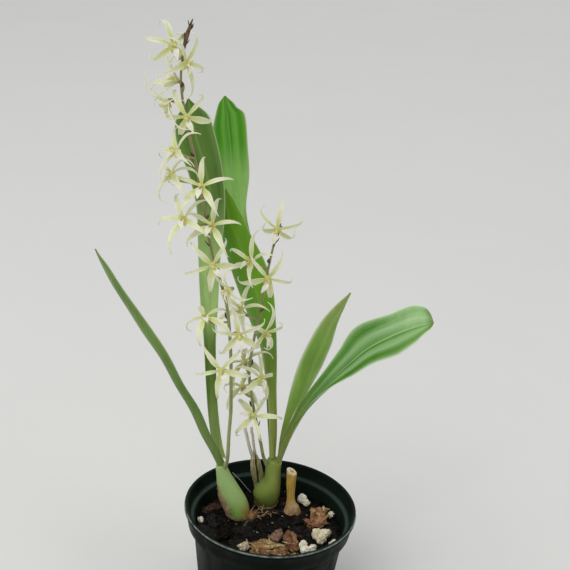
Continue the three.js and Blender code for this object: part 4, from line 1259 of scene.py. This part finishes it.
def fibre(draw, start, reach, radius):
    """Thin dry fibre that wanders from a place, in millimetres."""
    heading = Vector((spread(draw, 1), spread(draw, 1), spread(draw, 0.45))).normalized()
    bend = Vector((spread(draw, 1), spread(draw, 1), spread(draw, 0.5)))
    stations = []
    for i in range(6):
        share = i / 5
        place = start + heading * reach * share + bend * reach * 0.35 * share * share
        stations.append((place, radius * (1 - 0.6 * share)))
    return tube(stations, sides=4)


def rhizome_piece(material, fibre_material):
    """Creeping stem, with a beard of dry fibres as a piece of its own."""
    draw = seeded(61)
    body = tube(stem_stations(RHIZOME, 40), sides=20)
    roughen(body, 4, 0.9)
    roughen(body, 1.2, 0.4)
    finish_piece(body, "rhizome", material)
    line = SmoothLine(RHIZOME)
    parts = []
    for _ in range(90):
        share = 0.05 + draw() * 0.6
        lift = Vector((spread(draw, 3.5), spread(draw, 3.5), 1.8 + 2.4 * draw()))
        parts.append(fibre(draw, line.at(share) + lift, 3 + 4 * draw(), 0.34))
    finish_piece(join(*parts), "rhizome_fibres", fibre_material)


def root_piece(name, points, material):
    """Root that runs over the mix."""
    root = tube(stem_stations(points, 24), sides=12)
    roughen(root, 3, 0.35)
    finish_piece(root, name, material)


def stump_piece(material):
    """Cut stump: fine tube, slanted cut and a hollow notch in its top."""
    stump = tube(stem_stations(STUMP, 60), sides=48)
    roughen(stump, 2.2, 0.45, (0, 0, 1), 7)
    slope = math.radians(STUMP_CUT["slope"])
    top = Vector((STUMP[-1][0], STUMP[-1][1], STUMP_CUT["z"])) * MM
    with edit_mode(stump):
        bpy.ops.mesh.bisect(
            plane_co=top, plane_no=(math.sin(slope), 0, math.cos(slope)), use_fill=True, clear_outer=True
        )
    radius = STUMP_HOLLOW["radius"] * MM
    bpy.ops.mesh.primitive_cone_add(
        vertices=24, radius1=radius * 0.6, radius2=radius * 1.2, depth=2 * STUMP_HOLLOW["depth"] * MM,
        location=top,
    )
    cut_away(stump, bpy.context.object)
    finish_piece(stump, "cut_stump", material, 40)


def dried_shoot_piece(material):
    """Dried old shoot: wrinkled sheath and its two stubs, torn to fibres at their ends."""
    draw = seeded(83)
    sheath = tube(stem_stations(DRY_SHEATH, 60), sides=48)
    roughen(sheath, 2, 0.9, (-0.15, -0.15, 1), 8)
    stubs = []
    for points in DRY_STUBS:
        stub = tube(stem_stations(points, 20), sides=12)
        roughen(stub, 1.5, 0.3, (0, 0, 1), 6)
        stubs.append(stub)
        line = SmoothLine(points)
        for i in range(9):
            foot = line.at(0.5 + 0.05 * i)
            stray = Vector((spread(draw, 1.6), spread(draw, 1.2), 0))
            head = foot + line.along(0.9) * (3 + 2 * draw()) + stray
            stubs.append(tube([(foot, 0.7), (foot.lerp(head, 0.6), 0.5), (head, 0.15)], sides=5))
    finish_piece(join(sheath, *stubs), "dried_old_shoot", material)


# Leaves

def leaf_shape(leaf, pleats, pleat_height):
    """Function that bends a flat blank to a leaf's channelled, pleated and waved blade."""
    points = leaf["points"]
    line = SmoothLine(points)
    widths = [[point[column] for point in points] for column in (3, 4)]
    folds = [point[5] for point in points]
    faces = [Vector(face) for face in leaf["faces"]]
    rows = {}

    def row(along):
        if along not in rows:
            forward = line.along(along)
            face = between(faces, along)
            side = forward.cross(face).normalized()
            up = side.cross(forward).normalized()
            halves = [smooth_between(width, along) for width in widths]
            fold = math.radians(between(folds, along))
            ripple = leaf["wave"] * math.sin(along * LEAF_WAVES * 2 * math.pi) * math.sin(along * math.pi)
            rows[along] = (line.at(along), side, up, halves, fold, ripple)
        return rows[along]

    def shape(across, along, through):
        place, side, up, halves, fold, ripple = row(round(along, 5))
        sign = -1 if across < 0 else 1
        near_tip = max(0, (along - 1) / ROUND_TIP + 1) if leaf.get("round") else 0
        half = max(halves[0 if across < 0 else 1] * math.sqrt(1 - near_tip ** 2), 0.4)
        reach = abs(across)
        start, end = [fold * share for share in LEAF_FOLD_SHARE]
        angle = lerp(start, end, reach)
        turn = end - start
        out = half * (math.sin(angle) - math.sin(start)) / turn
        rise = half * (math.cos(start) - math.cos(angle)) / turn + ripple * reach * reach * sign
        pleated = smooth_between(PLEAT_SHARES, along) * pleat_height
        rise += pleated * math.cos(math.pi * pleats * (across + 1)) * (1 - reach ** 6)
        normal = up * math.cos(angle) - side * sign * math.sin(angle)
        wall = LEAF_THICKNESS / 2 * (1 - 0.6 * reach ** 4)
        return place + side * sign * out + up * rise + normal * through * wall

    return shape


# Colours of the left half, right half, lower blade, petiole, its heel, veins (also the painted sheen on the
# pleat crests) and margin; where the petiole ends and the blade begins; how many pleats, how high they are
# and how much painted sheen their crests take
LEAF_LOOKS = {
    # Paler left half and darker right half: painted light and shade on the two sides of the keel.
    "leaf_left_outer": {
        "colours": ("#688c3c", "#4a6e2e", "#66893a", "#64793a", "#6f8644", "#8fa862", "#b9c498"),
        "foot": (0.12, 0.4), "low": (0.2, 0.5), "pleats": 2, "height": 0.15, "crest_sheen": 0.2, "gloss": 0.42,
    },
    # Pale mint lower blade is painted sheen; the pale heel is painted light that lifts its shadow.
    "leaf_upright_dark": {
        "colours": ("#587f2a", "#527826", "#c0e08e", "#6c8c3c", "#d0e696", "#8aa858", "#a9c088"),
        "foot": (0.34, 0.44), "low": (0.5, 0.68), "pleats": 2, "height": 0.25, "crest_sheen": 0.2, "gloss": 0.44,
    },
    "leaf_middle": {
        "colours": ("#6ca61a", "#5e981a", "#649c22", "#9aaa4a", "#a8b658", "#88b040", "#b9cf90"),
        "foot": (0.12, 0.4), "low": (0.3, 0.5), "pleats": 2, "height": 0.3, "crest_sheen": 0.22, "gloss": 0.38,
    },
    # Very pale lower blade: painted light that lifts the shade on that part.
    "leaf_back": {
        "colours": ("#4c9c18", "#4e9a18", "#c2f090", "#93a552", "#a3b15c", "#94d45c", "#c9bcae"),
        "foot": (0.12, 0.3), "low": (0.4, 0.62), "pleats": 3, "height": 0.5, "crest_sheen": 0.3, "gloss": 0.34,
    },
    "leaf_right_narrow": {
        "colours": ("#8ab64c", "#82b046", "#96c054", "#94ae54", "#9cae5e", "#a0c068", "#dde2c8"),
        "foot": (0.12, 0.4), "low": (0.2, 0.5), "pleats": 2, "height": 0.25, "crest_sheen": 0.3, "gloss": 0.4,
        "end": (0.4, "#9a8e66"), "margin": 0.12,
    },
    # Pale left half and the strong pale pleat bands: painted sheen.
    "leaf_right_broad": {
        "colours": ("#a2cc86", "#7eb450", "#528c24", "#8a9c40", "#97a558", "#b8dca4", "#e2ead0"),
        "foot": (0.12, 0.4), "low": (0.62, 0.8), "pleats": 3, "height": 0.5, "crest_sheen": 0.42, "gloss": 0.3,
        "end": (0.14, "#66883a"), "margin": 0.05,
    },
}


def leaf_piece(node, blank):
    """One leaf with its own finish."""
    look = LEAF_LOOKS[node]
    leaf = shaped_blade(blank, leaf_shape(LEAVES[node], look["pleats"], look["height"]))
    finish_piece(leaf, node, leaf_finish(node, look))


# Flower stems and blooms

def bract_way(number):
    """Level direction that a bract grows in, turned on from the one before it."""
    turn = number * BRACT["turn"]
    return Vector((math.cos(turn), math.sin(turn), 0))


def bract(place, along, out, blank, scale=1.0):
    """Small pointed scale that leaves a stem at a place inside it."""
    place = place + out * BRACT["lift"]
    side = along.cross(out).normalized()
    tip = out * BRACT["out"] * scale + along * BRACT["length"] * scale

    def shape(across, share, through):
        half = BRACT["half"] * scale * math.sin(math.pi * min(share * 0.8 + 0.25, 1)) + 0.1
        cup = -0.35 * half * across * across
        return place + tip * share + side * across * half - out * cup + out * through * 0.18

    return shaped_blade(blank, shape)


def one_material(piece, index, materials):
    """Gives a part all of a piece's materials, with one of them on its faces."""
    piece.data.materials.clear()
    for material in materials:
        piece.data.materials.append(material)
    piece.data.polygons.foreach_set("material_index", [index] * len(piece.data.polygons))


def flower_stem_piece(spec, materials, blank):
    """Flower stem with its bracts and the dry bud at its tip."""
    stem, bud = [
        tube([(place, radius * SLIM) for place, radius in stem_stations(spec[part], steps)])
        for part, steps in (("points", 110), ("tip", 16))
    ]
    one_material(stem, 0, materials)
    line, tip = SmoothLine(spec["points"]), SmoothLine(spec["tip"])
    first, last, count = spec["bracts"]
    reach = len(spec["points"]) - 1
    dry = [bud]
    for i in range(count):
        share = lerp(first / reach, last / reach, i / count)
        along = line.along(share)
        out = bract_way(i)
        out = (out - along * out.dot(along)).normalized()
        dry.append(bract(line.at(share), along, out, blank))
    for i in range(TIP_BRACTS["count"]):
        share = TIP_BRACTS["first"] + TIP_BRACTS["step"] * i
        dry.append(bract(tip.at(share), tip.along(share), bract_way(i), blank, TIP_BRACTS["scale"]))
    for part in dry:
        one_material(part, 1, materials)
    finish_piece(join(stem, *dry), spec["name"], None)


def round_star(angle):
    """Direction at an angle round the star, from its top towards its side."""
    return Vector((0, math.sin(angle), math.cos(angle)))


def bloom_matrix(bloom):
    """Bloom's own axes in the frame: x out of its face, y to its side, z to its top."""
    place, *angles, _ = bloom
    facing, tilt, turn = [math.radians(angle) for angle in angles]
    out = Vector((
        math.sin(facing) * math.cos(tilt), -math.cos(facing) * math.cos(tilt), math.sin(tilt)
    ))
    level = Vector((math.cos(facing), math.sin(facing), 0))
    top = out.cross(level)
    side = level * math.cos(turn) - top * math.sin(turn)
    crown = top * math.cos(turn) + level * math.sin(turn)
    matrix = Matrix((out, side, crown)).transposed().to_4x4()
    return Matrix.Translation(Vector(place)) @ matrix


def tepal_shape(part, angle, swept, draw):
    """Function that bends a flat blank to a sepal or petal, in the bloom's own axes."""
    lean = part["lean"]
    leans = (lean[0] + 0.6 * swept, lean[1] + 1.4 * swept + spread(draw, TEPAL_DRAW["lean"]))
    reach = part["length"] * (1 + spread(draw, TEPAL_DRAW["length"]))
    halves = part["halves"]
    widths = (*halves, halves[2] * 0.5, 0.2)
    steps = 60
    sweep = math.radians(part["sweep"])
    rows = []
    place = round_star(angle) * ROOT_RING
    for step in range(steps + 1):
        share = step / steps
        led = share + TEPAL_LEAD
        around = angle + sweep * led
        hooked = max(0, share - TEPAL_HOOK["start"]) / (1 - TEPAL_HOOK["start"])
        tip = math.radians(lerp(leans[0], leans[1], led) + TEPAL_HOOK["angle"] * hooked)
        radial = round_star(around)
        forward = radial * math.sin(tip) + Vector((math.cos(tip), 0, 0))
        face = Vector((math.sin(tip), 0, 0)) - radial * math.cos(tip)
        rows.append((place.copy(), face, round_star(around + math.pi / 2)))
        place += forward * reach / steps

    def shape(across, along, through):
        centre, face, side = rows[round(along * steps)]
        half = smooth_between(widths, along)
        dish = -0.28 * half * (1 - across * across)
        wall = TEPAL_THICKNESS / 2 * (1 - 0.45 * across ** 4) * lerp(1.1, 0.6, along)
        return centre + side * across * half + face * (dish + through * wall)

    return shape


def lip_shape(across, along, through):
    """Bends a flat blank to the lip: a claw, raised side lobes and a pointed middle lobe."""
    out, up, half = [smooth_between([row[i] for row in LIP_ROWS], along) for i in range(3)]
    lobe = math.exp(-((along - 0.38) / 0.22) ** 2)
    curl = 0.55 * half * lobe * across * across
    return Vector((out + curl * 0.8, across * half * (1 - 0.18 * lobe), up + curl + through * 0.22))


def bloom_centre():
    """Column with its cap, and the rounded cup and chin behind it, in the bloom's own axes."""
    column = tube([(Vector((out, 0, up)), radius) for out, up, radius in COLUMN], sides=12)
    bpy.ops.mesh.primitive_uv_sphere_add(segments=18, ring_count=12, radius=1)
    cup = bpy.context.object
    for point in cup.data.vertices:
        x, y, z = point.co
        low = max(0, -z)
        out = x * (1.9 - 0.3 * low) - 0.2 - 0.5 * low
        point.co = Vector((out, y * (2.5 - 0.7 * low), z * (2.3 + 2.9 * low))) * MM
    return join(column, cup)


def stalk_foot(line, centre):
    """Point of the flower stem that carries a bloom, a little below it."""
    wanted = centre.z - STALK_DROP
    return min((line.at(i / 200) for i in range(201)), key=lambda place: abs(place.z - wanted))


def stalk_piece(bloom, matrix, line):
    """Ovary and flower stalk, from the bloom's back to the flower stem."""
    centre = Vector(bloom[0])
    out = matrix.to_3x3() @ Vector((1, 0, 0))
    start = centre - out * 1.2
    bend = start - out * 6 + Vector((0, 0, -1))
    foot = stalk_foot(line, centre)
    stations = []
    for i in range(13):
        share = i / 12
        place = start * (1 - share) ** 2 + bend * 2 * share * (1 - share) + foot * share * share
        stations.append((place, smooth_between(STALK_RADII, share)))
    return tube(stations, sides=8)


def bloom_piece(letter, number, bloom, models, materials):
    """One bloom, shaped and turned as it stands on its stem."""
    draw = seeded(100 * (1 if letter == "a" else 2) + number - 1)
    line = SmoothLine(FLOWER_STEMS[letter]["points"])
    matrix = bloom_matrix(bloom)
    angles = [math.radians(part["angle"] + spread(draw, TEPAL_DRAW["angle"])) for part in TEPALS]
    parts = [
        shaped_blade(models["tepal"], tepal_shape(part, angle, bloom[4], draw))
        for part, angle in zip(TEPALS, angles)
    ]
    parts += [new_piece(name, models[name].copy()) for name in ("lip", "centre")]
    for part, index in zip(parts, (0, 0, 0, 0, 0, 1, 2)):
        one_material(part, index, materials)
    joined = join(*parts)
    joined.data.transform(Matrix.Scale(MM, 4) @ matrix @ Matrix.Scale(1 / MM, 4))
    stalk = stalk_piece(bloom, matrix, line)
    one_material(stalk, 3, materials)
    finish_piece(join(joined, stalk), f"bloom_{letter}_{number:02d}", None)


# Settings

def power_setting(name, description, default):
    """Power property of a light."""
    return FloatProperty(name=name, description=description, default=default, unit="POWER")


def colour_setting(name, description, code):
    """Colour property with a colour code as its default."""
    return FloatVectorProperty(
        name=name, description=description, subtype="COLOR", default=tint(code), min=0, max=1
    )


class OrchidPotSettings(bpy.types.PropertyGroup):
    """Sizes and colours of the pot and the mix."""

    sides: IntProperty(name="Sides", description="Faces round the pot", default=144, min=48, max=256)
    pot_colour: colour_setting("Pot colour", "Colour of the moulded plastic", "#08110b")
    # The inner colour is a lighter copy of the pot's plastic: painted light on the inside and top faces.
    lit_inner_colour: colour_setting("Inner colour", "Colour of the plastic inside the rim", "#18231c")
    crumbs: IntProperty(name="Crumbs", description="Small crumbs strewn over the mix", default=900, min=0)
    splinters: IntProperty(
        name="Splinters", description="Bark splinters in each heap between the chips", default=90, min=0
    )
    thread: FloatProperty(
        name="Thread thickness", description="Thickness of the dry thread between the bulbs",
        default=0.0003, unit="LENGTH",
    )


class OrchidLeafSettings(bpy.types.PropertyGroup):
    """Fineness of the leaves."""

    columns: IntProperty(name="Columns", description="Faces across a leaf", default=32, min=8, max=48)
    rows: IntProperty(name="Rows", description="Faces along a leaf", default=110, min=24, max=200)


class OrchidBloomSettings(bpy.types.PropertyGroup):
    """Fineness and colours of the blooms."""

    columns: IntProperty(name="Columns", description="Faces across a sepal", default=6, min=2, max=12)
    rows: IntProperty(name="Rows", description="Faces along a sepal", default=20, min=10, max=40)
    tepal_colour: colour_setting("Tepal colour", "Colour of sepals and petals", "#e9eac4")
    root_colour: colour_setting("Root colour", "Colour where sepals and petals meet", "#d6dc84")
    centre_colour: colour_setting("Centre colour", "Colour of the column", "#dcd88c")


class OrchidStudioSettings(bpy.types.PropertyGroup):
    """Floor and lights."""

    floor_size: FloatProperty(
        name="Floor size", description="Width of the square floor", default=14, unit="LENGTH"
    )
    floor_colour: colour_setting("Floor colour", "Colour of the plain floor", "#f1f0ec")
    key_power: power_setting("Key light", "Power of the main soft light", 58)
    fill_power: power_setting("Fill light", "Power of the soft light from the right", 20)
    rim_power: power_setting("Back light", "Power of the soft light behind and above", 26)
    side_power: power_setting("Side light", "Power of the small soft light from the left", 8)


# Operators

class ORCHID_OT_pot(bpy.types.Operator):
    """Builds the plastic pot"""

    bl_idname = "orchid.pot"
    bl_label = "Pot"

    def execute(self, context):
        settings = context.scene.orchid_pot
        pot = turned_body(POT_PROFILE, settings.sides)
        drill_drain_holes(pot)
        outer = pot_finish("pot_plastic", settings.pot_colour, "#060a08")
        # Lighter copy of the same plastic for the inside and the upward faces: painted light.
        inner = pot_finish("pot_plastic_inner", settings.lit_inner_colour, "#0e1511")
        for material in (outer, inner):
            pot.data.materials.append(material)
        for face in pot.data.polygons:
            faces_axis = face.normal.x * face.center.x + face.normal.y * face.center.y < 0
            face.material_index = 1 if faces_axis or face.normal.z > 0.7 else 0
        finish_piece(pot, "pot", None, 35)
        return {"FINISHED"}


class ORCHID_OT_mix(bpy.types.Operator):
    """Builds the potting mix and its crumbs"""

    bl_idname = "orchid.mix"
    bl_label = "Potting mix"

    def execute(self, context):
        settings = context.scene.orchid_pot
        mix = mix_surface()
        for name, (seed, rounds, one_in, sizes, flat, patch, look) in CRUMBS.items():
            draw = seeded(seed)
            templates = crumb_templates(draw, flat, rounds)
            drops = scattered(draw, settings.crumbs // one_in, sizes, patch)
            strewn(name, [mix], draw, drops, templates, crumb_finish(*look))
        grounds = [mix] + [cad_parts[node] for node in BARK_CHIPS]
        for i, (colour, dark_colour) in enumerate(SPLINTER_COLOURS):
            draw = seeded(41 + i)
            wood = crumb_finish(f"splinter_{i + 1}", colour, dark_colour, 0.75)
            templates = crumb_templates(draw, 0.5, 2)
            for side, patch, share in SPLINTER_HEAPS:
                count = int(settings.splinters * share / len(SPLINTER_COLOURS))
                drops = scattered(draw, count, (1.6, 4.2), patch)
                strewn(f"splinters_{side}_{i + 1}", grounds, draw, drops, templates, wood, 2.4)
        draw = seeded(36)
        templates = crumb_templates(draw, 0.7, 2)
        strewn("mix_white_bits", [mix], draw, WHITE_BITS, templates, bpy.data.materials["crumb_pale"])
        finish_piece(mix, "potting_mix", mix_finish(), 35)
        return {"FINISHED"}


class ORCHID_OT_loose_pieces(bpy.types.Operator):
    """Builds the bark chips, perlite and charcoal that lie on the mix"""

    bl_idname = "orchid.loose_pieces"
    bl_label = "Loose pieces"

    def execute(self, context):
        for node, look in BARK_CHIPS.items():
            chip_piece(node, bark_finish(node, *look))
        white = perlite_finish("perlite", "#fffaea", "#d0c298")
        cream = perlite_finish("perlite_cream", "#f4e8c8", "#b4a478")
        for node in PERLITE_LUMPS:
            look = cream if node == "perlite_right_large" else white
            lump_piece(node, look, 0.8, SLIVER_SHARE if node == "perlite_rim" else 1)
        lump_piece("charcoal_left", charcoal_finish(), 1.1)
        return {"FINISHED"}


class ORCHID_OT_bulbs(bpy.types.Operator):
    """Builds the two pseudobulbs and the torn sheath on them"""

    bl_idname = "orchid.bulbs"
    bl_label = "Pseudobulbs"

    def execute(self, context):
        left = bulb_finish(
            "bulb_pale", "#80aa4a", "#9cbb72", "#b0c482", "#a37a48", (84, 104), (84, 79),
            [("#a98a66", (-6.2, -8.4), (114, 104)), ("#ac743a", (3, 7.5), (96, 86))],
        )
        middle = bulb_finish(
            "bulb_olive", "#525f1e", "#8a9a48", "#8f9d52", "#4e4124", (81, 103), (82, 78)
        )
        smooth_bulb("pseudobulb_left", LEFT_BULB, left, 0.72, None)
        smooth_bulb("pseudobulb_middle", MIDDLE_BULB, middle, 0.95, (6.5, 91, 119, 0.7))
        paper = dry_finish("bulb_sheath", "#b08c62", "#745434", "#d2bb94")

        def on_left_edge(place, centre, ragged):
            side = place.x - centre.x + 0.3 * (place.y - centre.y)
            return side < -7.9 + ragged * 0.9 and place.z < 98 + ragged * 3

        def round_foot(place, centre, ragged):
            return place.z < 83.2 + ragged * 0.9

        papery_sheath(LEFT_BULB, "sheath_left_edge", on_left_edge, paper)
        papery_sheath(LEFT_BULB, "sheath_left_foot", round_foot, paper, 0.6)
        papery_sheath(MIDDLE_BULB, "sheath_middle_foot", round_foot, paper, 0.4)
        return {"FINISHED"}


class ORCHID_OT_old_growth(bpy.types.Operator):
    """Builds the rhizome, roots, cut stump and dried shoot"""

    bl_idname = "orchid.old_growth"
    bl_label = "Old growth"

    def execute(self, context):
        rhizome_piece(rhizome_finish(), dry_finish("root_fibre", "#b8925e", "#6e4e2e", "#e0c79c"))
        root = dry_finish("root", "#3d3c1c", "#201f10", "#565234", 0.55)
        for i, points in enumerate(ROOTS):
            root_piece(f"root_{i + 1}", points, root)
        stump_piece(stump_finish())
        dried_shoot_piece(dry_shoot_finish())
        half = context.scene.orchid_pot.thread / 2 / MM
        thread = tube([(Vector(place), half) for place in THREAD], sides=4)
        paper = dry_finish("thread", "#cfc9ba", "#9a927e", "#e4dfd2")
        finish_piece(thread, "dry_thread", paper)
        return {"FINISHED"}


class ORCHID_OT_leaves(bpy.types.Operator):
    """Builds the six leaves"""

    bl_idname = "orchid.leaves"
    bl_label = "Leaves"

    def execute(self, context):
        settings = context.scene.orchid_leaves
        blank = blade_blank(settings.columns, settings.rows)
        for node in LEAVES:
            leaf_piece(node, blank)
        bpy.data.meshes.remove(blank)
        return {"FINISHED"}


class ORCHID_OT_flower_stems(bpy.types.Operator):
    """Builds the two flower stems with bracts and bud tips"""

    bl_idname = "orchid.flower_stems"
    bl_label = "Flower stems"

    def execute(self, context):
        blank = blade_blank(4, 8)
        materials = [stem_finish(), bract_finish()]
        for spec in FLOWER_STEMS.values():
            flower_stem_piece(spec, materials, blank)
        bpy.data.meshes.remove(blank)
        return {"FINISHED"}


class ORCHID_OT_blooms(bpy.types.Operator):
    """Builds every bloom from one sepal blank, one lip and one centre"""

    bl_idname = "orchid.blooms"
    bl_label = "Blooms"

    def execute(self, context):
        settings = context.scene.orchid_blooms
        materials = [tepal_finish(settings), lip_finish(), centre_finish(settings), stalk_finish()]
        lip_blank = blade_blank(8, 14)
        lip = shaped_blade(lip_blank, lip_shape)
        centre = bloom_centre()
        models = {
            "tepal": blade_blank(settings.columns, settings.rows),
            "lip": lip.data,
            "centre": centre.data,
        }
        bpy.data.objects.remove(lip)
        bpy.data.objects.remove(centre)
        for letter, blooms in BLOOMS.items():
            for i, bloom in enumerate(blooms):
                bloom_piece(letter, i + 1, bloom, models, materials)
        for mesh in (*models.values(), lip_blank):
            bpy.data.meshes.remove(mesh)
        return {"FINISHED"}


def soft_light(name, power, width, place):
    """Square soft light that looks at the middle of the plant."""
    bpy.ops.object.light_add(type="AREA", location=place)
    light = bpy.context.object
    light.name = name
    light.data.energy = power
    light.data.size = width
    light.rotation_euler = (Vector(LIGHT_TARGET) - Vector(place)).to_track_quat("-Z", "Y").to_euler()


def set_camera():
    """Camera at the photo's view point."""
    bpy.ops.object.camera_add(location=Vector(CAMERA_PLACE) * MM)
    camera = bpy.context.object
    dip = Matrix.Rotation(math.radians(90 - CAMERA_DIP), 3, "X")
    camera.rotation_euler = (dip @ Matrix.Rotation(math.radians(CAMERA_ROLL), 3, "Z")).to_euler()
    camera.data.sensor_width = SENSOR_WIDTH
    camera.data.lens = CAMERA_LENS
    camera.data.clip_start = 0.01
    bpy.context.scene.camera = camera


class ORCHID_OT_stage(bpy.types.Operator):
    """Builds the pale floor, the soft lights and the camera"""

    bl_idname = "orchid.stage"
    bl_label = "Stage"

    def execute(self, context):
        settings = context.scene.orchid_studio
        bpy.ops.mesh.primitive_plane_add(size=settings.floor_size, location=(0, 0, FLOOR_HEIGHT))
        floor = bpy.context.object
        floor.name = "studio_floor"
        floor.data.materials.append(floor_finish(settings))
        for name, (power, width, place) in LIGHTS.items():
            soft_light(name, getattr(settings, power), width, place)
        world = bpy.data.worlds.new("studio")
        world.use_nodes = True
        for key, value in SKY.items():
            world.node_tree.nodes["Background"].inputs[key].default_value = value
        context.scene.world = world
        context.scene.view_settings.view_transform = "Standard"
        set_camera()
        return {"FINISHED"}


OPERATORS = (
    ORCHID_OT_pot, ORCHID_OT_mix, ORCHID_OT_loose_pieces, ORCHID_OT_bulbs, ORCHID_OT_old_growth,
    ORCHID_OT_leaves, ORCHID_OT_flower_stems, ORCHID_OT_blooms, ORCHID_OT_stage,
)


class ORCHID_PT_panel(bpy.types.Panel):
    """Lists the plant's pieces in the order in which they are built"""

    bl_idname = "ORCHID_PT_panel"
    bl_label = "Potted orchid"
    bl_space_type = "VIEW_3D"
    bl_region_type = "UI"
    bl_category = "Orchid"

    def draw(self, context):
        for operator in OPERATORS:
            self.layout.operator(operator.bl_idname)
        for name in SETTINGS:
            box = self.layout.box()
            group = getattr(context.scene, name)
            for prop in group.bl_rna.properties.keys()[2:]:
                box.prop(group, prop)


SETTINGS = {
    "orchid_pot": OrchidPotSettings,
    "orchid_leaves": OrchidLeafSettings,
    "orchid_blooms": OrchidBloomSettings,
    "orchid_studio": OrchidStudioSettings,
}


def register():
    """Adds the classes and the scene's settings."""
    for item in (*SETTINGS.values(), *OPERATORS, ORCHID_PT_panel):
        bpy.utils.register_class(item)
    for name, group in SETTINGS.items():
        setattr(bpy.types.Scene, name, PointerProperty(type=group))


def unregister():
    """Removes the scene's settings and the classes."""
    for name in SETTINGS:
        delattr(bpy.types.Scene, name)
    for item in reversed((*SETTINGS.values(), *OPERATORS, ORCHID_PT_panel)):
        bpy.utils.unregister_class(item)


def main():
    """Builds every piece in order."""
    register()
    for operator in OPERATORS:
        section, name = operator.bl_idname.split(".")
        getattr(getattr(bpy.ops, section), name)()


if __name__ == "__main__":
    main()
